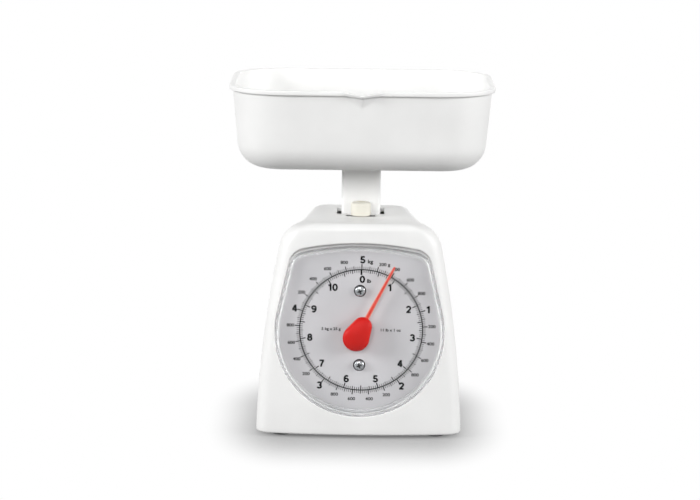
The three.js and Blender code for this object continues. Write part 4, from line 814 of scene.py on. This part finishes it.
def figure_mesh(text, weight):
    """Flat lettering one unit deep, drawn at text size 1."""
    curve = bpy.data.curves.new("figure", "FONT")
    curve.body = text
    curve.offset = weight
    curve.extrude = HALF_DEPTH
    curve.resolution_u = LETTER_STEPS
    holder = add_object("figure", curve)
    mesh = final_mesh(holder)
    bpy.data.objects.remove(holder)
    bpy.data.curves.remove(curve)
    return mesh


def bow(x, y, across, up, begin, end):
    """Points along part of an ellipse, between two angles in degrees."""
    points = max(BOW_LEAST, int(abs(end - begin) / BOW_STEP))
    angles = np.radians(np.linspace(begin, end, points))
    return np.stack([x + across * np.cos(angles), y + up * np.sin(angles)], axis=1)


# Middle lines of the bold figures, one unit high
FIGURES = {
    "0": [bow(0.34, 0.5, 0.24, 0.4, 0, 360)],
    "1": [[(0.42, 0), (0.42, 1)], [(0.12, 0.76), (0.3, 0.78), (0.42, 0.9)]],
    "2": [[*bow(0.34, 0.67, 0.23, 0.23, 178, -42), (0.16, 0.1)], [(0.04, 0.1), (0.62, 0.1)]],
    "3": [bow(0.32, 0.7, 0.21, 0.2, 165, -90), bow(0.32, 0.3, 0.25, 0.2, 95, -165)],
    "4": [[(0.46, 0), (0.46, 1)], [(0.43, 0.93), (0.1, 0.34)], [(0.02, 0.3), (0.66, 0.3)]],
    "5": [[(0.6, 0.9), (0.2, 0.9), (0.14, 0.46)], bow(0.33, 0.32, 0.24, 0.22, 138, -165)],
    "6": [bow(0.34, 0.31, 0.235, 0.21, 0, 360), bow(0.37, 0.47, 0.265, 0.43, 200, 48)],
    "7": [[(0.04, 0.9), (0.64, 0.9)], [(0.56, 0.84), (0.4, 0.58), (0.29, 0.3), (0.25, 0)]],
    "8": [bow(0.34, 0.71, 0.19, 0.19, 0, 360), bow(0.34, 0.3, 0.235, 0.2, 0, 360)],
}
FIGURES["9"] = [np.array([FIGURE_WIDTH, 1]) - stroke for stroke in FIGURES["6"]]


def stroke_shape(line):
    """A flat bar of the figures' stroke along a line, or a flat ring along a closed one."""
    line = np.asarray(line, float)
    closed = np.allclose(line[0], line[-1])
    if closed:
        line = line[:-1]
        steps = np.roll(line, -1, axis=0) - line
        before = np.roll(steps, 1, axis=0)
    else:
        steps = np.diff(line, axis=0)
        before = np.vstack([steps[:1], steps])
        steps = np.vstack([steps, steps[-1:]])
    ahead = steps / np.linalg.norm(steps, axis=1)[:, None]
    behind = before / np.linalg.norm(before, axis=1)[:, None]
    along = (ahead + behind) / np.linalg.norm(ahead + behind, axis=1)[:, None]
    reach = FIGURE_STROKE / 2 / np.sum(along * ahead, axis=1)
    offset = np.column_stack([-along[:, 1], along[:, 0]]) * reach[:, None]
    left, right = line + offset, line - offset
    if not closed:
        outline = np.concatenate([left, right[::-1]])
        return loft([upright(outline, -HALF_DEPTH), upright(outline, HALF_DEPTH)])
    edges = ((left, -HALF_DEPTH), (left, HALF_DEPTH), (right, HALF_DEPTH), (right, -HALF_DEPTH))
    return hoop([upright(edge, depth) for edge, depth in edges])


def digit_mesh(digit):
    shapes = []
    for line in FIGURES[digit]:
        points, faces = stroke_shape(line)
        shapes.append((points / MM, faces))
    made = make_object("figure", shapes[0])
    combine(made, "UNION", *shapes[1:])
    mesh = made.data
    bpy.data.objects.remove(made)
    return mesh


def lettering(name, labels, height, weight=None):
    """Printed words, or bold figures where no weight is given, each centred on its place."""
    sheet = bmesh.new()
    scale = height * MM / (LETTER_HEIGHT + 2 * weight if weight else 1)
    depth = (INK_PROUD + INK_SUNK) * MM
    front = DIAL_FRONT + (INK_SUNK - INK_PROUD) / 2
    stretch = LETTER_STRETCH if weight else FIGURE_STRETCH
    stand = Matrix.Rotation(math.pi / 2, 4, "X") @ Matrix.Diagonal((scale * stretch, scale, depth, 1))
    for text, x, z in labels:
        runs = [figure_mesh(text, weight)] if weight else [digit_mesh(digit) for digit in text]
        shifts, along = [], 0.0
        for mesh in runs:
            corners = np.array([vertex.co for vertex in mesh.vertices])
            low, high = corners.min(axis=0), corners.max(axis=0)
            shifts.append(Vector((along - low[0], -(low[1] + high[1]) / 2, 0)))
            along += high[0] - low[0] + FIGURE_GAP
        middle = Vector(((along - FIGURE_GAP) / 2, 0, 0))
        place = Matrix.Translation(Vector((x + PRINT_X, front, z + DIAL_HEIGHT)) * MM)
        for mesh, shift in zip(runs, shifts):
            mesh.transform(place @ stand @ Matrix.Translation(shift - middle))
            sheet.from_mesh(mesh)
            bpy.data.meshes.remove(mesh)
    printed = bpy.data.meshes.new(name)
    bmesh.ops.remove_doubles(sheet, verts=sheet.verts, dist=WELD)
    bmesh.ops.recalc_face_normals(sheet, faces=sheet.faces)
    sheet.to_mesh(printed)
    sheet.free()
    inked(add_object(name, printed))


def make_figures():
    numerals = [TOP_KILO]
    for kilo in range(1, FULL_SCALE_GRAMS // KILO_GRAMS):
        numerals.append((str(kilo), *on_print(GRAM_ANGLE * KILO_GRAMS * kilo, KILO_RADIUS)))
    numerals.append(TOP_POUND)
    for pound in range(1, POUNDS):
        numerals.append((str(pound), *on_print(POUND_ANGLE * pound, POUND_RADIUS)))
    lettering("dial_numerals", numerals, NUMERAL_HEIGHT)
    lettering("dial_units", UNITS, UNIT_HEIGHT, BOLD)
    labels = [FIRST_GRAMS]
    for grams in range(2 * GRAM_LABEL, FULL_SCALE_GRAMS, GRAM_LABEL):
        over = grams % KILO_GRAMS
        if over:
            labels.append((str(over), *on_print(GRAM_ANGLE * grams, GRAM_RADIUS)))
    lettering("dial_gram_figures", labels, GRAM_HEIGHT, PLAIN)
    lettering("dial_notes", NOTES, NOTE_HEIGHT, PLAIN)


def hub_outline(steps=40):
    """An egg about the pointer's axis: a small nose ahead, a large round tail behind, straight sides."""
    (rear, back), (nose, ahead) = HUB_REAR, HUB_NOSE
    lean = math.asin((rear - nose) / (back + ahead))
    front = np.linspace(lean, math.pi - lean, steps + 1)
    behind = np.linspace(math.pi - lean, 2 * math.pi + lean, 2 * steps + 1)
    tip = np.stack([nose * np.cos(front), ahead + nose * np.sin(front)], axis=1)
    tail = np.stack([rear * np.cos(behind), rear * np.sin(behind) - back], axis=1)
    between = np.linspace(0, 1, 5)[1:-1]
    left = [tip[-1] + (tail[0] - tip[-1]) * share for share in between]
    right = [tail[-1] + (tip[0] - tail[-1]) * share for share in between]
    return np.array([*tip, *left, *tail, *right])


def pointer_place():
    """The pointer stands upright about its axis and is turned clockwise to its reading."""
    return Matrix.Translation((0, 0, DIAL_HEIGHT)) @ Matrix.Rotation(READING, 4, "Y")


def make_hub():
    outline = hub_outline()

    def ring(share, y):
        return np.column_stack([outline[:, 0] * share, np.full(len(outline), y), outline[:, 1] * share])

    foot_share, foot_height = HUB_FOOT
    rings = [ring(foot_share, POINTER_BACK), ring(1, POINTER_BACK - foot_height)]
    skirt = POINTER_BACK - HUB_SKIRT
    for angle in np.linspace(0, HUB_DOME_END, HUB_RINGS):
        rings.append(ring(math.cos(angle), skirt - HUB_DOME * math.sin(angle)))
    hub = make_object("pointer_hub", moved(loft(rings), pointer_place()))
    bore = turned([(SHAFT_BORE, -BORE_MARGIN), (SHAFT_BORE, SHAFT_DEPTH)])
    combine(hub, "DIFFERENCE", moved(bore, axis_y(0, POINTER_BACK, DIAL_HEIGHT)))
    settle(hub, "pointer", "red_plastic", ["pointer"])


def make_needle():
    """A tapered blade with a raised rib down its middle and a rounded tip."""
    section = np.array([(-x, y) for x, y in reversed(NEEDLE_HALF)] + list(NEEDLE_HALF))
    tip = 1 - TIP_START
    rounding = TIP_START + tip * np.sin(np.linspace(TIP_TURN, math.pi / 2, TIP_RINGS))
    shares = np.concatenate([np.linspace(0, TIP_START, BLADE_RINGS), rounding])
    rings = []
    for share in shares:
        along = NEEDLE_START + (NEEDLE_LENGTH - NEEDLE_START) * share
        half = NEEDLE_ROOT + (NEEDLE_TIP - NEEDLE_ROOT) * along / NEEDLE_LENGTH
        over = max(0.0, (share - TIP_START) / tip)
        half *= math.sqrt(max(TIP_LEAST, 1 - over * over))
        x = section[:, 0] * half
        y = POINTER_BACK - section[:, 1] * NEEDLE_BLADE
        rings.append(np.column_stack([x, y, np.full(len(section), along)]))
    needle = make_object("pointer_needle", moved(loft(rings), pointer_place()))
    across = np.abs(np.tile(section[:, 0], len(shares)))
    blade = needle.data.attributes.new("blade", "FLOAT", "POINT")
    blade.data.foreach_set("value", across)
    settle(needle, "pointer", "red_plastic")
    needle.data.materials[0] = blade_finish()


# Small pieces
def make_dial_screw(which):
    """A pan-head screw with a cross recess, its shank in the plate behind the dial."""
    low, high = extent(f"{which}_dial_screw")
    head = (high[0] - low[0]) / 2
    z = (low[2] + high[2]) / 2
    seat = DIAL_FRONT - SEAT_GAP
    height = seat - low[1]
    shank_end = seat - high[1] + SHANK_SHORT
    profile = [(SHANK_TIP, shank_end), (SHANK, shank_end + SHANK_POINT), (SHANK, -HEAD_SINK)]
    profile += [(head - HEAD_CHAMFER, 0), (head, HEAD_CHAMFER), (head, HEAD_WALL * height)]
    for angle in np.linspace(*CROWN_ANGLES, CROWN_RINGS):
        radius = head * math.cos(angle) ** CROWN_CURVE
        profile.append((radius, height * (HEAD_WALL + (1 - HEAD_WALL) * math.sin(angle))))
    screw = make_object(f"{which}_screw", moved(turned(profile), axis_y(0, seat, z)))
    square = np.array([(-1, -1), (1, -1), (1, 1), (-1, 1)], float) * head
    floor = upright(square * RECESS_FLOOR, RECESS_DEPTH * height)
    mouth = upright(square * RECESS_MOUTH, height + RECESS_MARGIN)
    for turn in (RECESS_TURN, RECESS_TURN + math.pi / 2):
        place = axis_y(0, seat, z) @ Matrix.Rotation(turn, 4, "Z")
        combine(screw, "DIFFERENCE", moved(loft([floor, mouth]), place))
    settle(screw, "root", "bright_steel", [f"{which}_dial_screw"])
    screw.data.materials[0] = FINISHES["screw_head"]
    screw.data.materials.append(FINISHES["screw_recess_shade"])
    # Painted shade: faces inside the cross recess get the dark recess finish
    for face in screw.data.polygons:
        x, y, up = face.center / MM
        from_axis = math.hypot(x, up - z)
        on_wall = from_axis < RECESS_REACH * head and abs(face.normal.y) < RECESS_STEEP and y < seat
        on_floor = from_axis < FLOOR_REACH * head and seat - FLOOR_LEVEL * height < y < seat
        if on_wall or on_floor:
            face.material_index = 1


def make_knob():
    """A smooth round knob with a shallow dish in its top."""
    radius = (knob_high[0] - knob_low[0]) / 2
    height = knob_high[2] - knob_low[2]
    profile = [(KNOB_BORE, height * KNOB_BORE_DEPTH), (KNOB_BORE, 0)]
    profile += [(radius - KNOB_CHAMFER, 0), (radius, KNOB_CHAMFER)]
    profile += [(radius - inset, height - drop) for inset, drop in rounding(KNOB_EDGE, points=14)]
    for angle in quarter_turn(points=8)[::-1]:
        inset = DISH_ROUND * (1 - math.sin(angle)) + DISH_LAND
        profile.append((DISH + inset, height - DISH_LIP * (1 - math.sin(angle))))
    for angle in np.linspace(0, DISH_END, DISH_RINGS):
        sink = DISH_LIP + (DISH_SINK - DISH_LIP) * math.sin(angle)
        profile.append((DISH * math.cos(angle) ** DISH_CURVE, height - sink))
    place = Matrix.Translation((0, KNOB_Y, knob_low[2]))
    knob = make_object("zero_knob_cap", moved(turned(profile, KNOB_SIDES), place))
    settle(knob, "zero_knob", "cream_plastic", ["zero_knob"])


def make_post():
    """A rectangular tube, open below, with a closed top that has rounded edges."""
    half_x = (post_high[0] - post_low[0]) / 2
    half_y = (post_high[1] - post_low[1]) / 2

    def ring(inset, z):
        corner = max(POST_LEAST_CORNER, POST_CORNER - inset)
        return block_ring(half_x - inset, half_y - inset, corner, POST_Y, z)

    low, high = post_low[2], post_high[2]
    rings = [ring(POST_WALL, high - POST_WALL), ring(POST_WALL, low)]
    rings += [ring(POST_CHAMFER, low), ring(0, low + POST_CHAMFER)]
    rings += [ring(inset, high - drop) for inset, drop in rounding(POST_ROUND, points=6)]
    settle(make_object("post_tube", loft(rings)), "platform", "white_plastic", ["post"])


def make_foot(number):
    """A rubber foot with a dished sole and a plug that holds it in the base plate."""
    node = f"foot_{number}"
    low, high = extent(node)
    radius = (high[0] - low[0]) / 2
    top = FOOT - SEAT_GAP
    profile = [(radius - inset, height) for inset, height in FOOT_SOLE]
    profile += [(radius, top - FOOT_CHAMFER), (radius - FOOT_CHAMFER, top), (PLUG, top)]
    profile += [(PLUG, high[2] - PLUG_POINT), (PLUG - PLUG_POINT, high[2])]
    x, y = ((low + high) / 2)[:2]
    foot = make_object(f"rubber_foot_{number}", moved(turned(profile), Matrix.Translation((x, y, 0))))
    settle(foot, "root", "black_rubber", [node])


# Pan
def pan_ring(height, inset):
    half_x, half_y = PAN_HALF_WIDTH - inset, PAN_HALF_DEPTH - inset
    outline = rounded_rectangle(half_x, half_y, half_y, PAN_CORNER - inset, *PAN_STEPS)
    lift = max(0.0, (height - PAN_HEIGHT + SPOUT_DROP) / SPOUT_DROP)
    reach = SPOUT_HALF_WIDTH * max(lift, SPOUT_LEAST)
    near = np.clip(1 - np.abs(outline[:, 0]) / reach, 0, 1) ** SPOUT_CURVE * (outline[:, 1] < 0)
    z = PAN_BOTTOM + height - SPOUT_DIP * near * lift**2
    return np.column_stack([outline[:, 0], outline[:, 1] - SPOUT_PROUD * near * lift + POST_Y, z])


def make_pan():
    """The tray: up the outside, over the lip and down the inside, with a socket for the post below."""
    arc_end = PAN_BOTTOM_RADIUS * (1 - math.sin(PAN_DRAFT))

    def wall_inset(height):
        return PAN_LIP + (PAN_HEIGHT - height) * math.tan(PAN_DRAFT)

    arc_centre = wall_inset(arc_end) + PAN_BOTTOM_RADIUS * math.cos(PAN_DRAFT)

    def arc_ring(radius, angle):
        return pan_ring(PAN_BOTTOM_RADIUS - radius * math.sin(angle), arc_centre - radius * math.cos(angle))

    angles = np.linspace(math.pi / 2, PAN_DRAFT, PAN_ARC_RINGS)
    spout_base = PAN_HEIGHT - SPOUT_DROP
    lip_under = PAN_HEIGHT - PAN_LIP_HEIGHT
    cove_base = lip_under - PAN_COVE
    cove_inset = wall_inset(cove_base)
    below_spout = np.linspace(arc_end, spout_base, PAN_WALL_RINGS)[1:]
    walls = np.concatenate([below_spout, np.linspace(spout_base, lip_under, PAN_WALL_RINGS)[1:]])
    thick = PAN_WALL / math.cos(PAN_DRAFT)
    inside = wall_inset(PAN_HEIGHT) + thick
    lip = rounding(PAN_LIP_ROUND, points=6)
    rings = [pan_ring(0, arc_centre + PAN_FLOOR_STEP)]
    rings += [arc_ring(PAN_BOTTOM_RADIUS, angle) for angle in angles]
    rings += [pan_ring(height, wall_inset(height)) for height in walls if height < cove_base]
    rings += [pan_ring(lip_under - drop, cove_inset - grow) for grow, drop in rounding(PAN_COVE, points=6)]
    rings += [pan_ring(lip_under + rise, inset) for rise, inset in lip]
    rings += [pan_ring(PAN_HEIGHT - drop, inset) for inset, drop in lip]
    rings += [pan_ring(PAN_HEIGHT - drop, inside - inset) for drop, inset in lip]
    rings += [pan_ring(height, wall_inset(height) + thick) for height in walls[::-1]]
    rings += [arc_ring(PAN_BOTTOM_RADIUS - PAN_WALL, angle) for angle in angles[::-1]]
    rings += [pan_ring(PAN_WALL, arc_centre + PAN_FLOOR_STEP)]
    pan = make_object("pan_tray", loft(rings))

    def socket_ring(inset, z):
        half_x, half_y = np.array(SOCKET) - inset
        return block_ring(half_x, half_y, SOCKET_CORNER - inset, POST_Y, PAN_BOTTOM + z)

    boss = [socket_ring(0, PAN_WALL / 2)]
    boss += [socket_ring(inset, SOCKET_HEIGHT - drop) for inset, drop in rounding(SOCKET_ROUND, points=6)]
    combine(pan, "UNION", loft(boss))
    bore = [socket_ring(SOCKET_WALL, -SOCKET_MARGIN), socket_ring(SOCKET_WALL, SOCKET_DEPTH)]
    combine(pan, "DIFFERENCE", loft(bore))
    settle(pan, "pan", "white_plastic", ["pan"])


# Spring
def make_spring():
    """A wire from the carrier's foot to the hanger: straight stems, run-ins and close coils."""
    coil_height = SPRING_COILS * SPRING_PITCH
    low, high = spring_low[2], spring_high[2]
    coil_low = (SPRING_FOOT_TOP + HANGER_BOTTOM - coil_height) / 2
    coil_high = coil_low + coil_height
    turns = np.linspace(-SPRING_RUN_IN, SPRING_COILS + SPRING_RUN_IN, SPRING_STEPS)
    lead = np.maximum(np.maximum(-turns, turns - SPRING_COILS), 0) / SPRING_RUN_IN
    ease = np.clip(lead / SPRING_OPENING, 0, 1)
    radius = SPRING_RADIUS * (1 - ease * ease * (3 - 2 * ease))
    climb = lead**SPRING_CLIMB
    z = coil_low + turns * SPRING_PITCH
    z = np.where(turns < 0, coil_low + (low - coil_low) * climb, z)
    z = np.where(turns > SPRING_COILS, coil_high + (high - coil_high) * climb, z)
    angle = 2 * math.pi * turns
    line = np.column_stack([radius * np.cos(angle), KNOB_Y + radius * np.sin(angle), z])
    tangent = np.gradient(line, axis=0)
    tangent /= np.linalg.norm(tangent, axis=1)[:, None]
    around = circle(SPRING_SIDES)
    normal = np.cross(tangent[0], (1.0, 0.0, 0.0))
    rings = []
    for point, along in zip(line, tangent):
        normal = normal - along * (normal @ along)
        normal /= np.linalg.norm(normal)
        side = np.cross(along, normal)
        rings.append(point + WIRE_RADIUS * around @ np.array([normal, side]))
    spring = settle(make_object("spring_wire", loft(rings)), None, "bright_steel", ["main_spring"])
    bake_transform(spring)


make_housing()
make_dial()
make_scale_lines()
make_figures()
make_hub()
make_needle()
make_cover()
make_dial_screw("upper")
make_dial_screw("lower")
make_knob()
make_post()
make_pan()
make_spring()
for number in range(1, FEET + 1):
    make_foot(number)

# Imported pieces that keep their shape
for part in frame["record"]["subparts"]:
    node = frame["nodes"][part["node"]]
    if node.hide_render:
        continue
    for slot in node.material_slots:
        slot.material = FINISHES[part["material_slot"]]

# Stage: a white floor with a painted shadow about the base, a white surround and soft lamps
FLOOR_SIZE = 30
FLOOR_SEEN = (0.38, 0.38, 0.38, 1)
FLOOR_BOUNCE = (0.2, 0.2, 0.2, 1)
# Painted shadow on the floor: seen darker about the base's footprint and white further out, over the real
# shadow; SHADE_LIFT is painted light that lifts the dark gap under the base
SHADE_FOOT = (0.045, 0.025, 0)
SHADE_NARROW = (2.05, 1, 1)
WHITE_BEGIN, WHITE_END = 0.013, 0.116
SHADE_LIFT = 0.15
SURROUND_LIGHT = 0.19
VIEW_WHITE = 1.0
FIRST_BOUNCE = 0.5

# Lamps: name, place, width, height, watts and whether shiny pieces mirror it
LAMP_TARGET = Vector((0, 0, 0.12))
LAMPS = (
    ("overhead", (-0.05, 0.35, 1.9), 0.7, 0.7, 6.5, True),
    ("left", (-1.6, -0.6, 0.65), 0.6, 0.5, 20, True),
    ("right", (1.6, -0.6, 0.6), 0.9, 0.6, 20, True),
    ("front", (-0.35, -2.4, 1.05), 1.4, 0.8, 27, True),
    ("rear", (0.4, 2.3, 0.7), 1.4, 0.8, 24, False),
)

# Camera, in millimetres and pixels of the photographed frame
CAMERA_PLACE = (-6.8, -1776, 433.5)
CAMERA_PITCH = math.radians(10.2)
CAMERA_ROLL = math.radians(0.7)
FOCAL_PIXELS = 2738
FRAME_PIXELS = 700
SENSOR_WIDTH = 36
CLIP_NEAR, CLIP_FAR = 0.05, 100


def seen_directly(tree):
    """1 for what is seen, also mirrored or through the cover, and 0 for light that falls on a surface."""
    path = tree.nodes.new("ShaderNodeLightPath")
    mirrored = maths(tree, "MAXIMUM", path.outputs["Is Glossy Ray"], path.outputs["Is Transmission Ray"])
    seen = maths(tree, "MAXIMUM", path.outputs["Is Camera Ray"], mirrored)
    before_bounce = maths(tree, "LESS_THAN", path.outputs["Diffuse Depth"], FIRST_BOUNCE)
    return maths(tree, "MULTIPLY", seen, before_bounce)


def make_floor():
    mesh = bpy.data.meshes.new("floor")
    far = FLOOR_SIZE / 2
    mesh.from_pydata([(-far, -far, 0), (far, -far, 0), (far, far, 0), (-far, far, 0)], [], [(0, 1, 2, 3)])
    floor = add_object("floor", mesh)
    material, tree, shader = start_finish("floor_white_painted_shadow")
    tree.nodes.remove(shader)
    seen = seen_directly(tree)
    colour = blend_colours(tree, seen, FLOOR_BOUNCE, FLOOR_SEEN, 0, 1)
    matte = tree.nodes.new("ShaderNodeBsdfDiffuse")
    tree.links.new(colour, matte.inputs["Color"])
    place = tree.nodes.new("ShaderNodeTexCoord").outputs["Object"]
    for operation, value in (
        ("ABSOLUTE", None),
        ("SUBTRACT", SHADE_FOOT),
        ("MAXIMUM", (0, 0, 0)),
        ("MULTIPLY", SHADE_NARROW),
    ):
        step = tree.nodes.new("ShaderNodeVectorMath")
        step.operation = operation
        if value:
            step.inputs[1].default_value = value
        tree.links.new(place, step.inputs[0])
        place = step.outputs["Vector"]
    away = tree.nodes.new("ShaderNodeVectorMath")
    away.operation = "LENGTH"
    tree.links.new(place, away.inputs[0])
    # Painted shadow: the seen floor turns from its shaded matte to white away from the base, and is never
    # fully matte
    rise = spread(tree, away.outputs["Value"], SHADE_LIFT, 1, WHITE_BEGIN, WHITE_END, "SMOOTHSTEP")
    white = tree.nodes.new("ShaderNodeEmission")
    white.inputs["Strength"].default_value = VIEW_WHITE
    both = tree.nodes.new("ShaderNodeMixShader")
    tree.links.new(maths(tree, "MULTIPLY", seen, rise), both.inputs["Fac"])
    tree.links.new(matte.outputs["BSDF"], both.inputs[1])
    tree.links.new(white.outputs["Emission"], both.inputs[2])
    tree.links.new(both.outputs["Shader"], tree.nodes["Material Output"].inputs["Surface"])
    mesh.materials.append(material)


def make_surround():
    world = bpy.data.worlds.new("surround")
    world.use_nodes = True
    tree = world.node_tree
    background = tree.nodes["Background"]
    background.inputs["Color"].default_value = (1, 1, 1, 1)
    strength = spread(tree, seen_directly(tree), SURROUND_LIGHT, VIEW_WHITE, 0, 1)
    tree.links.new(strength, background.inputs["Strength"])
    bpy.context.scene.world = world


def make_lamp(name, place, width, height, power, mirrored):
    data = bpy.data.lights.new(name, "AREA")
    data.shape = "RECTANGLE"
    data.size = width
    data.size_y = height
    data.energy = power
    lamp = add_object(name, data)
    lamp.location = place
    lamp.rotation_euler = (LAMP_TARGET - Vector(place)).to_track_quat("-Z", "Y").to_euler()
    lamp.visible_camera = False
    lamp.visible_glossy = mirrored


def make_camera():
    forward = Vector((0, math.cos(CAMERA_PITCH), -math.sin(CAMERA_PITCH)))
    right = Vector((1, 0, 0))
    up = Vector((0, math.sin(CAMERA_PITCH), math.cos(CAMERA_PITCH)))
    across = right * math.cos(CAMERA_ROLL) + up * math.sin(CAMERA_ROLL)
    upward = up * math.cos(CAMERA_ROLL) - right * math.sin(CAMERA_ROLL)
    data = bpy.data.cameras.new("camera")
    data.sensor_width = SENSOR_WIDTH
    data.lens = SENSOR_WIDTH * FOCAL_PIXELS / FRAME_PIXELS
    data.clip_start = CLIP_NEAR
    data.clip_end = CLIP_FAR
    camera = add_object("camera", data)
    axes = Matrix((across, upward, -forward)).transposed().to_4x4()
    camera.matrix_world = Matrix.Translation(Vector(CAMERA_PLACE) * MM) @ axes
    bpy.context.scene.camera = camera


make_floor()
make_surround()
for lamp in LAMPS:
    make_lamp(*lamp)
make_camera()

view = bpy.context.scene.view_settings
view.view_transform = "Standard"
